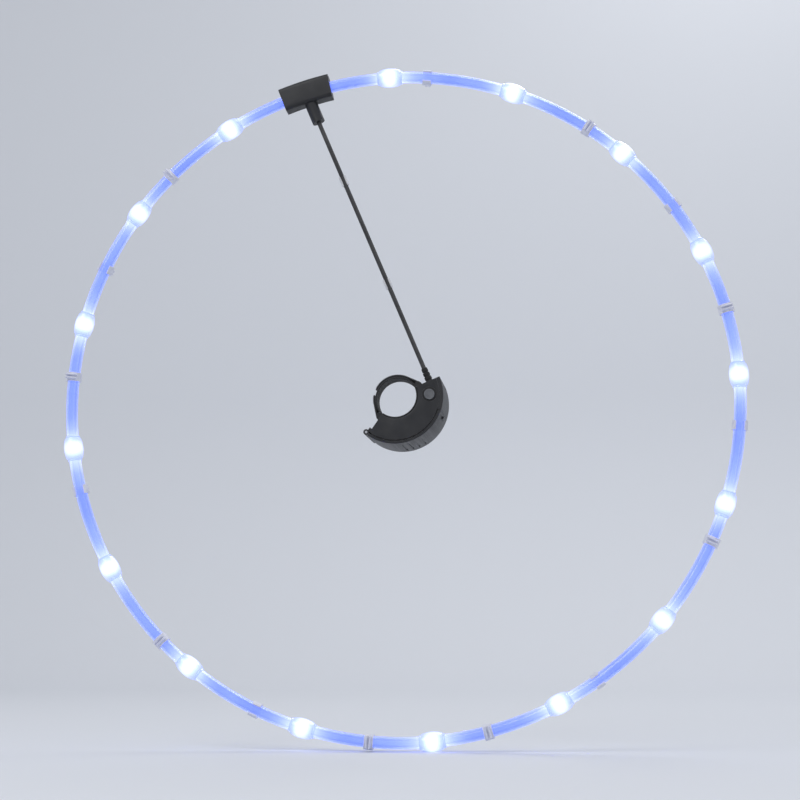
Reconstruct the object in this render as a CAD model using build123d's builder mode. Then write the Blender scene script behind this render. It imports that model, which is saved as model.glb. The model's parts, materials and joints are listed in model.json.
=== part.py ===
from build123d import *
import os
from math import acos, asin, atan2, cos, degrees, radians, sin, sqrt, tan

os.makedirs("parts", exist_ok=True)

# Spoke wheel light: a ring of lamps that clips to a wheel's spokes, a lead that follows one
# spoke, and a battery case strapped to the hub. The origin is the middle of the hub, +Y runs
# along the axle to the rear of the wheel, and the ring lies in the XZ plane. Lengths are in
# millimetres. Angles are in degrees, counter-clockwise from +X seen from the front (-Y).

# Fits and clearances
pin_clearance = 0.05
fit_gap = 0.05
moving_gap = 0.3
overrun = 1.0

# Ring: sixteen lamps, evenly spaced but for a wider step at the seam
full_turn = 360
ring_radius = 260.0
tube_radius = 4.5
tube_bore_radius = 3.0
lamp_count = 16
seam_angle = 106.6
seam_span = 30.0
wire_radius = 0.6
wire_offset = 2.3

# Lamp boards, chips and lens pods
board_height = 3.3
board_thickness = 0.8
board_length = 14.0
chip_height = 2.8
chip_thickness = 1.2
chip_length = 3.5
lens_radius = 7.5
lens_collar_radius = 5.4
lens_length = 20.0
lens_edge = 0.4

# Clips, one to each step between lamps, on the nearest of thirty-six spokes
spoke_count = 36
spoke_phase = 5.0
spoke_radius = 1.0
clip_wall = 1.5
clip_width = 7.0
clip_mouth_angle = 80.0
seat_wall = 1.2
seat_length = 9.0
seat_mouth_angle = 70.0
seat_web = 0.5

# Joiner over the seam
joiner_length = 40.0
joiner_tube_grip = 10.0
joiner_depth = 7.5
joiner_round = 3.0
joiner_edge_wall = 0.6
cavity_height = 11.5
cavity_drop = 1.25
cavity_depth = 6.0
stem_radius = 5.0
stem_length = 26.0
stem_approach = 16.0
seal_thickness = 1.2
seal_length = 2.0
seal_inset = 3.0
junction_height = 9.8
junction_length = 16.0
junction_thickness = 0.8
wire_landing = 4.0
joiner_screw_spread = 12.0
joiner_screw_offset = 6.9
joiner_screw_grip = 5.0

# Small screws
screw_radius = 1.0
screw_head_radius = 1.9
screw_head_height = 1.4
board_screw_radius = 0.8
board_screw_head_radius = 1.5
board_screw_head_height = 1.0
board_screw_length = 3.2

# Lead
lead_radius = 1.75
core_radius = 0.6
core_spacing = 1.5
lead_inset = 4.0
lead_inside = 4.0
core_inside = 5.0
lead_straight = 40.0
lead_core_gap = 3.4
lead_run_share = 0.45
gland_length = 20.0
gland_radius = 3.6
gland_tip_radius = 2.4
gland_neck_radius = 2.9
gland_flange_radius = 3.8
gland_flange_thickness = 1.2
gland_groove = 0.5
gland_groove_count = 5
lead_clip_length = 8.0
lead_clip_wall = 1.2
lead_clip_shares = (0.3, 0.8)

# Battery case: cross-section in radii from the axle and angles round it, length along the axle
hub_radius = 16.0
pad_thickness = 1.5
pad_inset = 2.0
case_wall = 2.0
case_edge = 0.8
wall_angle = 4.0
cell_radius = 7.25
cell_length = 50.5
cell_edge = 0.5
nub_radius = 2.75
nub_height = 1.0
cell_count = 3
cell_spacing_angle = 34.0
rib_height = 3.0
rib_angle = 1.6
rib_inset = 8.0
electronics_span = 35.0
gasket_height = 0.7
gasket_angle = 1.2
gasket_inset_angle = 0.4
gasket_width = 1.0
gasket_inset = 0.5
plate_thickness = 0.4
plate_width = 9.0
plate_height = 11.0
spring_radius = 2.8
spring_wire_radius = 0.3
spring_turns = 3
spring_height = 4.7
battery_wire_radius = 0.45
battery_wire_place = 21.3

# Lid hinge and finger lip
barrel_radius = 2.2
hinge_pin_radius = 0.9
hinge_inset = 2.0
hinge_web = 3.0
knuckle_count = 5
lip_height = 1.4
lip_angles = (6.0, 3.0)
lip_width = 16.0
lid_grooves = 4
lid_groove_depth = 0.6
lid_groove_width = 1.2
lid_groove_angle = 8.0
lid_groove_inset = 12.0

# Electronics
circuit_thickness = 1.2
circuit_width = 8.0
circuit_front_gap = 2.5
circuit_back_gap = 1.0
circuit_lift = 2.45
circuit_screw_shares = (-0.46, 0.6)
boss_radius = 2.0
cover_screw_shares = (-0.72, 0.44)
cover_screw_angle = 4.0
cover_boss_radius = 2.2
cover_screw_length = 7.0
switch_size = 6.0
switch_depth = 4.0
switch_inset = 5.6
plunger_radius = 1.75
plunger_length = 1.7
plunger_entry = 0.9
plunger_bore = 2.5
button_radius = 4.0
button_flange_radius = 4.7
button_flange_thickness = 1.0
button_stand = 1.5
button_edge = 0.6
button_stem_radius = 1.6
button_seal_radius = 5.6
button_seal_thickness = 1.0
controller_size = (5.0, 4.0)
controller_height = 1.5
controller_share = -0.14
controller_leg_width = 0.4
controller_leg_reach = 1.0
controller_leg_height = 0.5
resistor_size = (1.6, 3.2)
resistor_height = 0.6
resistor_shares = (0.07, 0.18, 0.29)
capacitor_radius = 2.5
capacitor_height = 5.5
capacitor_share = 0.43
connector_size = (6.0, 5.5)
connector_height = 7.6
connector_shift = -0.8

# Hub strap
strap_width = 20.0
strap_thickness = 1.5
strap_gap = 0.1
strap_bar_radius = 1.4
strap_bar_gap = 0.8
strap_lug_wall = 1.2
strap_lug_thickness = 2.5
strap_sewn_angle = 22.0
strap_fold_angle = 50.0
strap_tab_angle = 40.0

# Lamps and clips round the ring
lamp_step = (full_turn - seam_span) / (lamp_count - 1)
lamp_angles = [seam_angle - seam_span / 2 - step * lamp_step for step in range(lamp_count)]
spoke_step = full_turn / spoke_count
clip_angles = [
    spoke_phase + spoke_step * round((angle - lamp_step / 2 - spoke_phase) / spoke_step)
    for angle in lamp_angles[:-1]
]
wheel_axis = Axis((0, 0, 0), (0, -1, 0))

# The case is as long as a cell, its spring and a plate at each end, within its walls
contact_face = (cell_length + spring_height) / 2
inside_half = contact_face + plate_thickness
case_length = 2 * (inside_half + case_wall)
pad_length = case_length - 2 * pad_inset
hinge_length = case_length - 2 * hinge_inset
rib_length = case_length - 2 * rib_inset
lid_groove_length = case_length - 2 * lid_groove_inset

# Places along the axle of what is on the circuit board, of the cover's screws and of the lead
circuit_ends = (circuit_front_gap - inside_half, inside_half - circuit_back_gap)
circuit_screws = [share * inside_half for share in circuit_screw_shares]
cover_screws_along = [share * inside_half for share in cover_screw_shares]
controller_along = controller_share * inside_half
resistors_along = [share * inside_half for share in resistor_shares]
capacitor_along = capacitor_share * inside_half
switch_front = switch_inset - inside_half
lead_along = inside_half - lead_inset

# Radii of the case, from the hub outwards
base_radius = hub_radius + pad_thickness + fit_gap
floor_radius = base_radius + case_wall
cell_place = floor_radius + moving_gap + cell_radius
lid_inner = cell_place + cell_radius + moving_gap
lid_outer = lid_inner + case_wall
rim_radius = lid_inner - moving_gap - gasket_height

# Angles round the case, counted from the middle cell
cell_angles = [cell_spacing_angle * (place - (cell_count - 1) / 2) for place in range(cell_count)]
bay_half = cell_angles[-1] + degrees(asin((cell_radius + moving_gap) / cell_place))
case_start = -(bay_half + wall_angle)
electronics_start = bay_half + wall_angle
electronics_end = electronics_start + electronics_span
electronics_middle = electronics_start + electronics_span / 2
case_end = electronics_end + wall_angle
hinge_place = (rim_radius + lid_outer) / 2
hinge_angle = case_start - degrees((barrel_radius + moving_gap) / hinge_place)
lid_end = bay_half + wall_angle / 2

# The lead leaves the case square to its end wall, on the line that meets the ring at the seam
lead_place = cell_place
lead_exit_angle = seam_angle - degrees(acos(lead_place / ring_radius))
case_turn = lead_exit_angle - case_end
lead_reach = sqrt(ring_radius**2 - lead_place**2)


def arc_step(length, radius):
    """The angle, in degrees, that a length takes up round a circle."""
    return degrees(length / radius)


def spot(radius, angle):
    """Place in the case's cross-section, from a radius and an angle round the case."""
    turned = radians(case_turn + angle)
    return (radius * cos(turned), radius * sin(turned))


def beside_ring(angle, out=0, ahead=0):
    """Place in the wheel's plane near the ring, outwards and counter-clockwise of an angle."""
    turned = radians(angle)
    x = (ring_radius + out) * cos(turned) - ahead * sin(turned)
    z = (ring_radius + out) * sin(turned) + ahead * cos(turned)
    return (x, z)


def wheel_plane(along):
    """A plane across the axle that faces the front, at a place along the axle."""
    return Plane.XZ.offset(-along)


def ring_plane(angle):
    """A plane square to the ring: its X points away from the axle, its Y along the axle."""
    x, z = beside_ring(angle)
    outwards = Vector(cos(radians(angle)), 0, sin(radians(angle)))
    return Plane(origin=(x, 0, z), x_dir=outwards, z_dir=outwards.cross(Vector(0, 1, 0)))


def case_plane(radius, angle, along=0):
    """A plane that faces away from the axle: its X runs along the axle, its Y round the case."""
    x, z = spot(radius, angle)
    turned = radians(case_turn + angle)
    return Plane(origin=(x, along, z), x_dir=(0, 1, 0), z_dir=(cos(turned), 0, sin(turned)))


lead_side = Vector(cos(radians(lead_exit_angle)), 0, sin(radians(lead_exit_angle)))
lead_base = lead_side * lead_place
lead_heading = Vector(-sin(radians(lead_exit_angle)), 0, cos(radians(lead_exit_angle)))
lead_corners = (
    (lead_straight, lead_along),
    (lead_reach - stem_length - stem_approach, 0),
)
lead_turn = atan2(lead_along, lead_corners[1][0] - lead_corners[0][0])
lead_bends = [
    lead_run_share * run / tan(lead_turn / 2) for run in (lead_straight, stem_length + stem_approach / 2)
]
print("lead bend radii", [round(bend) for bend in lead_bends])


def lead_point(reach, along):
    """A point in the lead's own plane, by its reach from the case and its place along the axle."""
    return lead_base + lead_heading * reach + Vector(0, along, 0)


def lead_plane(reach, along, turn=0):
    """A plane square to the lead: its X points away from the axle. Turn follows the slant."""
    heading = lead_heading * cos(turn) - Vector(0, sin(turn), 0)
    return Plane(origin=lead_point(reach, along), x_dir=lead_side, z_dir=heading)


def lead_path(start, end):
    """The lead's route: three straight runs, joined by arcs as large as the runs allow."""
    places = [(start, lead_along), *lead_corners, (end, 0)]
    return FilletPolyline(*[lead_point(*place) for place in places], radius=lead_bends)


def band(inner, outer, start, end):
    """Add to the open sketch the band between two radii and two angles round the case."""
    with BuildLine() as edge:
        CenterArc((0, 0), outer, case_turn + start, end - start)
        CenterArc((0, 0), inner, case_turn + start, end - start)
        Line(spot(inner, start), spot(outer, start))
        Line(spot(inner, end), spot(outer, end))
    make_face(edge.edges())


def bar(centre, radius, ends, mode=Mode.ADD):
    """Add to the open part a round bar along the axle, between two places on the axle."""
    with Locations(Location((centre[0], max(ends), centre[1]), (90, 0, 0))):
        Cylinder(radius, max(ends) - min(ends), align=(Align.CENTER, Align.CENTER, Align.MIN), mode=mode)


def wedge(mouth, reach, heading):
    """Cut from the open sketch a wedge that opens to one side, as the mouth of a clip."""
    half = radians(mouth / 2)
    turned = radians(heading)
    far = reach / cos(half)
    Polygon(
        (0, 0),
        (far * cos(turned - half), far * sin(turned - half)),
        (far * cos(turned + half), far * sin(turned + half)),
        align=None,
        mode=Mode.SUBTRACT,
    )


# Ring tube, open at the seam, with a rail wire on each side of its bore
tube_step = arc_step(joiner_tube_grip, ring_radius)
with BuildPart() as light_tube:
    with BuildSketch(ring_plane(seam_angle + tube_step)):
        Circle(tube_radius)
        Circle(tube_bore_radius, mode=Mode.SUBTRACT)
    revolve(axis=wheel_axis, revolution_arc=full_turn - 2 * tube_step)
light_tube.part.label = "light_tube"
export_step(light_tube.part, "parts/light_tube.step")

landing_step = arc_step(wire_landing, ring_radius)
for name, side in (("wire_inner", -1), ("wire_outer", 1)):
    with BuildPart() as wire:
        with BuildSketch(ring_plane(seam_angle + landing_step)):
            with Locations((side * wire_offset, 0)):
                Circle(wire_radius)
        revolve(axis=wheel_axis, revolution_arc=full_turn - 2 * landing_step)
    wire.part.label = name
    export_step(wire.part, f"parts/{name}.step")

# Lamp boards lie between the rails, with a chip on the front and the back of each
with BuildPart() as led_boards:
    half_step = arc_step(board_length / 2, ring_radius)
    for angle in lamp_angles:
        with BuildSketch(ring_plane(angle - half_step)):
            Rectangle(board_height, board_thickness)
        revolve(axis=wheel_axis, revolution_arc=2 * half_step)
led_boards.part.label = "led_boards"
export_step(led_boards.part, "parts/led_boards.step")

with BuildPart() as led_chips:
    half_step = arc_step(chip_length / 2, ring_radius)
    chip_place = (board_thickness + chip_thickness) / 2
    for angle in lamp_angles:
        with BuildSketch(ring_plane(angle - half_step)):
            with Locations((0, -chip_place), (0, chip_place)):
                Rectangle(chip_height, chip_thickness)
        revolve(axis=wheel_axis, revolution_arc=2 * half_step)
led_chips.part.label = "led_chips"
export_step(led_chips.part, "parts/led_chips.step")

# Lens pods: a swelling round the tube at each lamp
for place, angle in enumerate(lamp_angles):
    here = ring_plane(angle)
    with BuildPart() as lens:
        with BuildSketch(Plane(origin=here.origin, x_dir=here.z_dir, z_dir=(0, 1, 0))):
            with BuildLine():
                Line((-lens_length / 2, 0), (-lens_length / 2, lens_collar_radius))
                ThreePointArc(
                    (-lens_length / 2, lens_collar_radius),
                    (0, lens_radius),
                    (lens_length / 2, lens_collar_radius),
                )
                Line((lens_length / 2, lens_collar_radius), (lens_length / 2, 0))
                Line((lens_length / 2, 0), (-lens_length / 2, 0))
            make_face()
        revolve(axis=Axis(here.origin, here.z_dir))
        fillet(lens.edges().filter_by(GeomType.CIRCLE), lens_edge)
        lens_step = arc_step(lens_length, ring_radius)
        with BuildSketch(ring_plane(angle - lens_step)):
            Circle(tube_radius + fit_gap)
        revolve(axis=wheel_axis, revolution_arc=2 * lens_step, mode=Mode.SUBTRACT)
    name = f"led_lens_{place + 1:02d}"
    lens.part.label = name
    export_step(lens.part, f"parts/{name}.step")


def spoke_clip(angle, side):
    """A C that snaps over the tube, and a smaller C beside it that snaps over a spoke."""
    clip_step = arc_step(clip_width / 2, ring_radius)
    clip_radius = tube_radius + fit_gap + clip_wall
    seat_place = side * (clip_radius + seat_web + spoke_radius)
    here = ring_plane(angle)
    seat_plane = Plane(
        origin=here.origin + Vector(0, seat_place, 0), x_dir=here.z_dir, z_dir=here.x_dir
    )
    with BuildPart() as clip:
        with BuildSketch(ring_plane(angle - clip_step)):
            Circle(clip_radius)
            wedge(clip_mouth_angle, 2 * clip_radius, -90 * side)
        revolve(axis=wheel_axis, revolution_arc=2 * clip_step)
        with BuildSketch(seat_plane):
            Circle(spoke_radius + seat_wall)
        extrude(amount=seat_length / 2, both=True)
        with BuildSketch(seat_plane):
            Circle(spoke_radius)
            half = radians(seat_mouth_angle / 2)
            reach = spoke_radius + seat_wall + overrun
            Polygon(
                (0, 0),
                (reach * tan(half), -side * reach),
                (-reach * tan(half), -side * reach),
                align=None,
            )
        extrude(amount=seat_length, both=True, mode=Mode.SUBTRACT)
        with BuildSketch(ring_plane(angle - 2 * clip_step)):
            Circle(tube_radius + fit_gap)
        revolve(axis=wheel_axis, revolution_arc=4 * clip_step, mode=Mode.SUBTRACT)
    return clip.part


# The clips take spokes of each side in turn, and a clip's opposite across the wheel takes the other side
half_ring = lamp_count // 2
clip_sides = [1 - 2 * ((place + place // half_ring) % 2) for place in range(len(clip_angles))]
clips = [spoke_clip(angle, side) for angle, side in zip(clip_angles, clip_sides)]
with BuildPart() as spoke_clips:
    add(clips)
spoke_clips.part.label = "spoke_clips"
export_step(spoke_clips.part, "parts/spoke_clips.step")

# Seam joiner: two halves that meet on the wheel's plane, with a stem for the lead
joiner_step = arc_step(joiner_length / 2, ring_radius)
seal_step = arc_step(seal_inset + seal_length, ring_radius)
joiner_half_height = joiner_screw_offset + screw_head_radius + joiner_edge_wall + fit_gap
joiner_screw_centres = [
    beside_ring(seam_angle, -joiner_screw_offset, joiner_screw_spread),
    beside_ring(seam_angle, -joiner_screw_offset, -joiner_screw_spread),
    beside_ring(seam_angle, joiner_screw_offset, 0),
]
joiner_head_seat = joiner_depth - screw_head_height - 2 * fit_gap


def joiner_half(keep):
    """One half of the joiner, hollowed for the tube, its seals, the junction board and the lead."""
    with BuildPart() as half:
        with BuildSketch(ring_plane(seam_angle - joiner_step)):
            RectangleRounded(2 * joiner_half_height, 2 * joiner_depth, joiner_round)
        revolve(axis=wheel_axis, revolution_arc=2 * joiner_step)
        with BuildSketch(lead_plane(lead_reach, 0)):
            Circle(stem_radius)
        extrude(amount=-stem_length)
        with BuildSketch(ring_plane(seam_angle - tube_step)):
            with Locations((-cavity_drop, 0)):
                Rectangle(cavity_height, cavity_depth)
        revolve(axis=wheel_axis, revolution_arc=2 * tube_step, mode=Mode.SUBTRACT)
        for side in (-1, 1):
            with BuildSketch(ring_plane(seam_angle + side * (tube_step + joiner_step) - joiner_step)):
                Circle(tube_radius + fit_gap)
            revolve(axis=wheel_axis, revolution_arc=2 * joiner_step, mode=Mode.SUBTRACT)
            with BuildSketch(ring_plane(seam_angle + side * (tube_step + seal_step) - seal_step / 4)):
                Circle(tube_radius + seal_thickness + fit_gap)
            revolve(axis=wheel_axis, revolution_arc=seal_step / 2, mode=Mode.SUBTRACT)
        with BuildSketch(lead_plane(lead_reach, 0)):
            Circle(lead_radius + fit_gap)
        extrude(amount=-(stem_length + overrun), mode=Mode.SUBTRACT)
        for centre in joiner_screw_centres:
            bar(centre, screw_radius + fit_gap, (-joiner_screw_grip, joiner_depth + overrun), Mode.SUBTRACT)
            head_space = (joiner_head_seat, joiner_depth + overrun)
            bar(centre, screw_head_radius + fit_gap, head_space, Mode.SUBTRACT)
        split(bisect_by=Plane.XZ, keep=keep)
    return half.part


for name, keep in (("joiner_front", Keep.TOP), ("joiner_rear", Keep.BOTTOM)):
    half = joiner_half(keep)
    half.label = name
    export_step(half, f"parts/{name}.step")

with BuildPart() as joiner_screws:
    for centre in joiner_screw_centres:
        bar(centre, screw_radius, (-joiner_screw_grip + fit_gap, joiner_head_seat))
        bar(centre, screw_head_radius, (joiner_head_seat, joiner_head_seat + screw_head_height))
joiner_screws.part.label = "joiner_screws"
export_step(joiner_screws.part, "parts/joiner_screws.step")

with BuildPart() as tube_seals:
    for side in (-1, 1):
        with BuildSketch(ring_plane(seam_angle + side * (tube_step + seal_step) - seal_step / 5)):
            Circle(tube_radius + seal_thickness)
            Circle(tube_radius + fit_gap, mode=Mode.SUBTRACT)
        revolve(axis=wheel_axis, revolution_arc=seal_step * 2 / 5)
tube_seals.part.label = "tube_seals"
export_step(tube_seals.part, "parts/tube_seals.step")

# The rails and the lead's cores end on this board, which lies just behind them
junction_middle = beside_ring(seam_angle, -cavity_drop)
with BuildPart() as junction_board:
    with BuildSketch(
        Plane(
            origin=(junction_middle[0], wire_radius + junction_thickness, junction_middle[1]),
            x_dir=ring_plane(seam_angle).x_dir,
            z_dir=(0, -1, 0),
        )
    ):
        Rectangle(junction_height, junction_length)
    extrude(amount=junction_thickness)
junction_board.part.label = "junction_board"
export_step(junction_board.part, "parts/junction_board.step")

# Lead: a two-core cable that leaves the case, joins its spoke and follows it to the ring
with BuildPart() as lead_cable:
    with BuildLine():
        lead_path(-lead_inside, lead_reach - joiner_half_height + overrun)
    with BuildSketch(lead_plane(-lead_inside, lead_along)):
        Circle(lead_radius)
        with Locations((-core_spacing / 2, 0), (core_spacing / 2, 0)):
            Circle(core_radius + fit_gap / 2, mode=Mode.SUBTRACT)
    sweep()
lead_cable.part.label = "lead_cable"
export_step(lead_cable.part, "parts/lead_cable.step")

with BuildPart() as lead_cores:
    with BuildLine():
        lead_path(-lead_inside - core_inside, lead_reach - lead_core_gap)
    with BuildSketch(lead_plane(-lead_inside - core_inside, lead_along)):
        with Locations((-core_spacing / 2, 0), (core_spacing / 2, 0)):
            Circle(core_radius)
    sweep()
lead_cores.part.label = "lead_cores"
export_step(lead_cores.part, "parts/lead_cores.step")

# Gland: a flange inside the wall, a neck through it and a ribbed taper outside
wall_reach = lead_place * tan(radians(wall_angle))
gland_seat = wall_reach + gland_flange_radius * tan(radians(wall_angle)) + fit_gap
gland_back = -(gland_seat + gland_flange_thickness)
with BuildPart() as lead_gland:
    with BuildSketch(Plane(origin=lead_point(0, lead_along), x_dir=lead_heading, z_dir=(0, 1, 0))):
        with BuildLine():
            Polyline(
                (gland_back, lead_radius + fit_gap),
                (gland_back, gland_flange_radius),
                (gland_back + gland_flange_thickness, gland_flange_radius),
                (gland_back + gland_flange_thickness, gland_neck_radius),
                (0, gland_neck_radius),
                (0, gland_radius),
                (gland_length, gland_tip_radius),
                (gland_length, lead_radius + fit_gap),
                (gland_back, lead_radius + fit_gap),
            )
        make_face()
        for groove in range(gland_groove_count):
            reach = gland_length * (groove + 1) / (gland_groove_count + 1)
            outside = gland_radius + (gland_tip_radius - gland_radius) * reach / gland_length
            with Locations((reach, outside)):
                Rectangle(2 * gland_groove, 2 * gland_groove, mode=Mode.SUBTRACT)
    revolve(axis=Axis(lead_point(0, lead_along), lead_heading))
lead_gland.part.label = "lead_gland"
export_step(lead_gland.part, "parts/lead_gland.step")


def lead_clip(share):
    """A small block that snaps over the lead and over the spoke that runs beside it."""
    start, end = lead_corners
    reach = start[0] + (end[0] - start[0]) * share
    along = start[1] + (end[1] - start[1]) * share
    spacing = lead_radius + fit_gap + lead_clip_wall + spoke_radius
    lead_mouth = lead_radius + lead_clip_wall + overrun
    spoke_mouth = spoke_radius + lead_clip_wall + overrun
    half_mouth = spoke_mouth * tan(radians(seat_mouth_angle / 2))
    with BuildPart() as clip:
        with BuildSketch(lead_plane(reach, along, lead_turn)):
            Circle(lead_radius + fit_gap + lead_clip_wall)
            with Locations((0, spacing)):
                Circle(spoke_radius + lead_clip_wall)
        extrude(amount=lead_clip_length / 2, both=True)
        with BuildSketch(lead_plane(reach, along, lead_turn)):
            Circle(lead_radius + fit_gap)
            Polygon((0, 0), (-lead_mouth, -lead_mouth), (lead_mouth, -lead_mouth), align=None)
            with Locations((0, spacing)):
                Circle(spoke_radius)
                Polygon((0, 0), (half_mouth, spoke_mouth), (-half_mouth, spoke_mouth), align=None)
        extrude(amount=lead_clip_length, both=True, mode=Mode.SUBTRACT)
    return clip.part


holders = [lead_clip(share) for share in lead_clip_shares]
with BuildPart() as lead_clips:
    add(holders)
lead_clips.part.label = "lead_clips"
export_step(lead_clips.part, "parts/lead_clips.step")

# Places that the case and what is in it share
knuckle_length = (hinge_length - (knuckle_count - 1) * moving_gap) / knuckle_count
knuckle_starts = [
    hinge_length / 2 - place * (knuckle_length + moving_gap) for place in range(knuckle_count)
]
circuit_bottom = floor_radius + circuit_lift
circuit_top = circuit_bottom + circuit_thickness
button_place = circuit_top + switch_size / 2
button_centre = spot(button_place, electronics_middle)
button_back = -inside_half + button_flange_thickness
strap_inner = hub_radius + strap_gap
strap_loop_inner = strap_bar_radius + strap_gap
strap_loop_outer = strap_loop_inner + strap_thickness
strap_bar_place = strap_inner + strap_thickness + strap_loop_inner
strap_bar_angle = arc_step(strap_loop_outer + strap_bar_gap, strap_bar_place)
strap_start = case_end + strap_bar_angle
strap_end = full_turn + case_start - strap_bar_angle
lug_radius = strap_bar_radius + strap_lug_wall
lug_end = strap_width / 2 + moving_gap + strap_gap + strap_lug_thickness

battery_wire_starts = (
    (cell_angles[0], contact_face - battery_wire_radius),
    (cell_angles[-1], battery_wire_radius - contact_face),
)


def battery_wire(start, end, along, gap=0, mode=Mode.ADD):
    """Add to the open part a wire bent round the case, or cut its channel with a gap round it."""
    here = case_plane(battery_wire_place, start, along)
    with BuildSketch(Plane(origin=here.origin, x_dir=here.z_dir, z_dir=here.y_dir)) as section:
        Circle(battery_wire_radius + gap)
    revolve(section.sketch, axis=wheel_axis, revolution_arc=end - start, mode=mode)


# Case base: curved floor, walls, cell ribs, screw bosses, hinge knuckles and strap bars
with BuildPart() as pack_base:
    with BuildSketch(Plane.XZ):
        band(base_radius, rim_radius, case_start, case_end)
    extrude(amount=case_length / 2, both=True)
    fillet(
        pack_base.edges()
        .filter_by(GeomType.CIRCLE)
        .filter_by(lambda edge: abs(edge.radius - base_radius) < fit_gap),
        case_edge,
    )
    with BuildSketch(Plane.XZ):
        band(floor_radius, rim_radius + overrun, -bay_half, bay_half)
        band(floor_radius, rim_radius + overrun, electronics_start, electronics_end)
    extrude(amount=inside_half, both=True, mode=Mode.SUBTRACT)
    with BuildSketch(Plane.XZ):
        for first, second in zip(cell_angles, cell_angles[1:]):
            start = (first + second - rib_angle) / 2
            band(floor_radius - fit_gap, floor_radius + rib_height, start, start + rib_angle)
    extrude(amount=rib_length / 2, both=True)
    for along in circuit_screws:
        with BuildSketch(case_plane(circuit_bottom, electronics_middle, along)):
            Circle(boss_radius)
        extrude(amount=-(circuit_lift + case_wall / 2))
    for along in cover_screws_along:
        with BuildSketch(case_plane(rim_radius - fit_gap, electronics_end, along)):
            Circle(cover_boss_radius)
        extrude(amount=-(rim_radius - floor_radius + case_wall / 2))
    for back in knuckle_starts[::2]:
        with BuildSketch(wheel_plane(back)):
            band(rim_radius - hinge_web, rim_radius, hinge_angle, case_start + wall_angle / 2)
            with Locations(spot(hinge_place, hinge_angle)):
                Circle(barrel_radius)
        extrude(amount=knuckle_length)
    bar(
        spot(hinge_place, hinge_angle),
        hinge_pin_radius + pin_clearance,
        (-case_length, case_length),
        Mode.SUBTRACT,
    )
    for bar_angle, wall_angle in (
        (strap_start, case_end - wall_angle / 2),
        (strap_end - full_turn, case_start + wall_angle / 2),
    ):
        for back in (lug_end, strap_lug_thickness - lug_end):
            with BuildSketch(wheel_plane(back)):
                band(base_radius, strap_bar_place + lug_radius, *sorted((bar_angle, wall_angle)))
                with Locations(spot(strap_bar_place, bar_angle)):
                    Circle(lug_radius)
            extrude(amount=strap_lug_thickness)
        bar(spot(strap_bar_place, bar_angle), strap_bar_radius, (-lug_end, lug_end))
    for along in circuit_screws:
        with BuildSketch(case_plane(circuit_bottom, electronics_middle, along)):
            Circle(board_screw_radius + fit_gap)
        extrude(amount=-board_screw_length, mode=Mode.SUBTRACT)
    for along in cover_screws_along:
        with BuildSketch(case_plane(rim_radius + overrun, electronics_end, along)):
            Circle(screw_radius + fit_gap)
        extrude(amount=-(cover_screw_length + overrun), mode=Mode.SUBTRACT)
    with BuildSketch(lead_plane(overrun, lead_along)):
        Circle(gland_neck_radius + fit_gap)
    extrude(amount=-(wall_reach + 2 * overrun + case_wall / 2), mode=Mode.SUBTRACT)
    for angle, along in battery_wire_starts:
        battery_wire(bay_half - wall_angle, electronics_start + wall_angle, along, fit_gap, Mode.SUBTRACT)
    bar(button_centre, button_radius + moving_gap, (-case_length, -inside_half + overrun), Mode.SUBTRACT)
    bar(
        button_centre,
        button_seal_radius + fit_gap,
        (-case_length, -case_length / 2 + button_seal_thickness),
        Mode.SUBTRACT,
    )
pack_base.part.label = "pack_base"
export_step(pack_base.part, "parts/pack_base.step")

with BuildPart() as hub_pad:
    with BuildSketch(Plane.XZ):
        band(hub_radius, hub_radius + pad_thickness, case_start, case_end)
    extrude(amount=pad_length / 2, both=True)
hub_pad.part.label = "hub_pad"
export_step(hub_pad.part, "parts/hub_pad.step")

# Lid: a curved panel over the cells, hinged at one end, with a finger lip at the other
lid_gap_step = arc_step(moving_gap / 2, lid_outer)
with BuildPart() as pack_lid:
    with BuildSketch(Plane.XZ):
        band(lid_inner, lid_outer, case_start, lid_end - lid_gap_step)
    extrude(amount=case_length / 2, both=True)
    fillet(
        pack_lid.edges()
        .filter_by(GeomType.CIRCLE)
        .filter_by(lambda edge: abs(edge.radius - lid_outer) < fit_gap),
        case_edge,
    )
    with BuildSketch(Plane.XZ):
        for groove in range(lid_grooves):
            middle = (groove - (lid_grooves - 1) / 2) * lid_groove_angle
            half_step = arc_step(lid_groove_width / 2, lid_outer)
            band(lid_outer - lid_groove_depth, lid_outer + overrun, middle - half_step, middle + half_step)
    extrude(amount=lid_groove_length / 2, both=True, mode=Mode.SUBTRACT)
    with BuildSketch(Plane.XZ):
        lip_start, lip_end = (lid_end - step for step in lip_angles)
        band(lid_outer - case_wall / 2, lid_outer + lip_height, lip_start, lip_end)
    extrude(amount=lip_width / 2, both=True)
    for back in knuckle_starts[1::2]:
        with BuildSketch(wheel_plane(back)):
            band(lid_inner, lid_outer, hinge_angle, case_start + arc_step(overrun, lid_outer))
            with Locations(spot(hinge_place, hinge_angle)):
                Circle(barrel_radius)
        extrude(amount=knuckle_length)
    bar(
        spot(hinge_place, hinge_angle),
        hinge_pin_radius + pin_clearance,
        (-case_length, case_length),
        Mode.SUBTRACT,
    )
pack_lid.part.label = "pack_lid"
export_step(pack_lid.part, "parts/pack_lid.step")

with BuildPart() as lid_hinge_pin:
    bar(spot(hinge_place, hinge_angle), hinge_pin_radius, (-hinge_length / 2, hinge_length / 2))
lid_hinge_pin.part.label = "lid_hinge_pin"
export_step(lid_hinge_pin.part, "parts/lid_hinge_pin.step")

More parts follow.
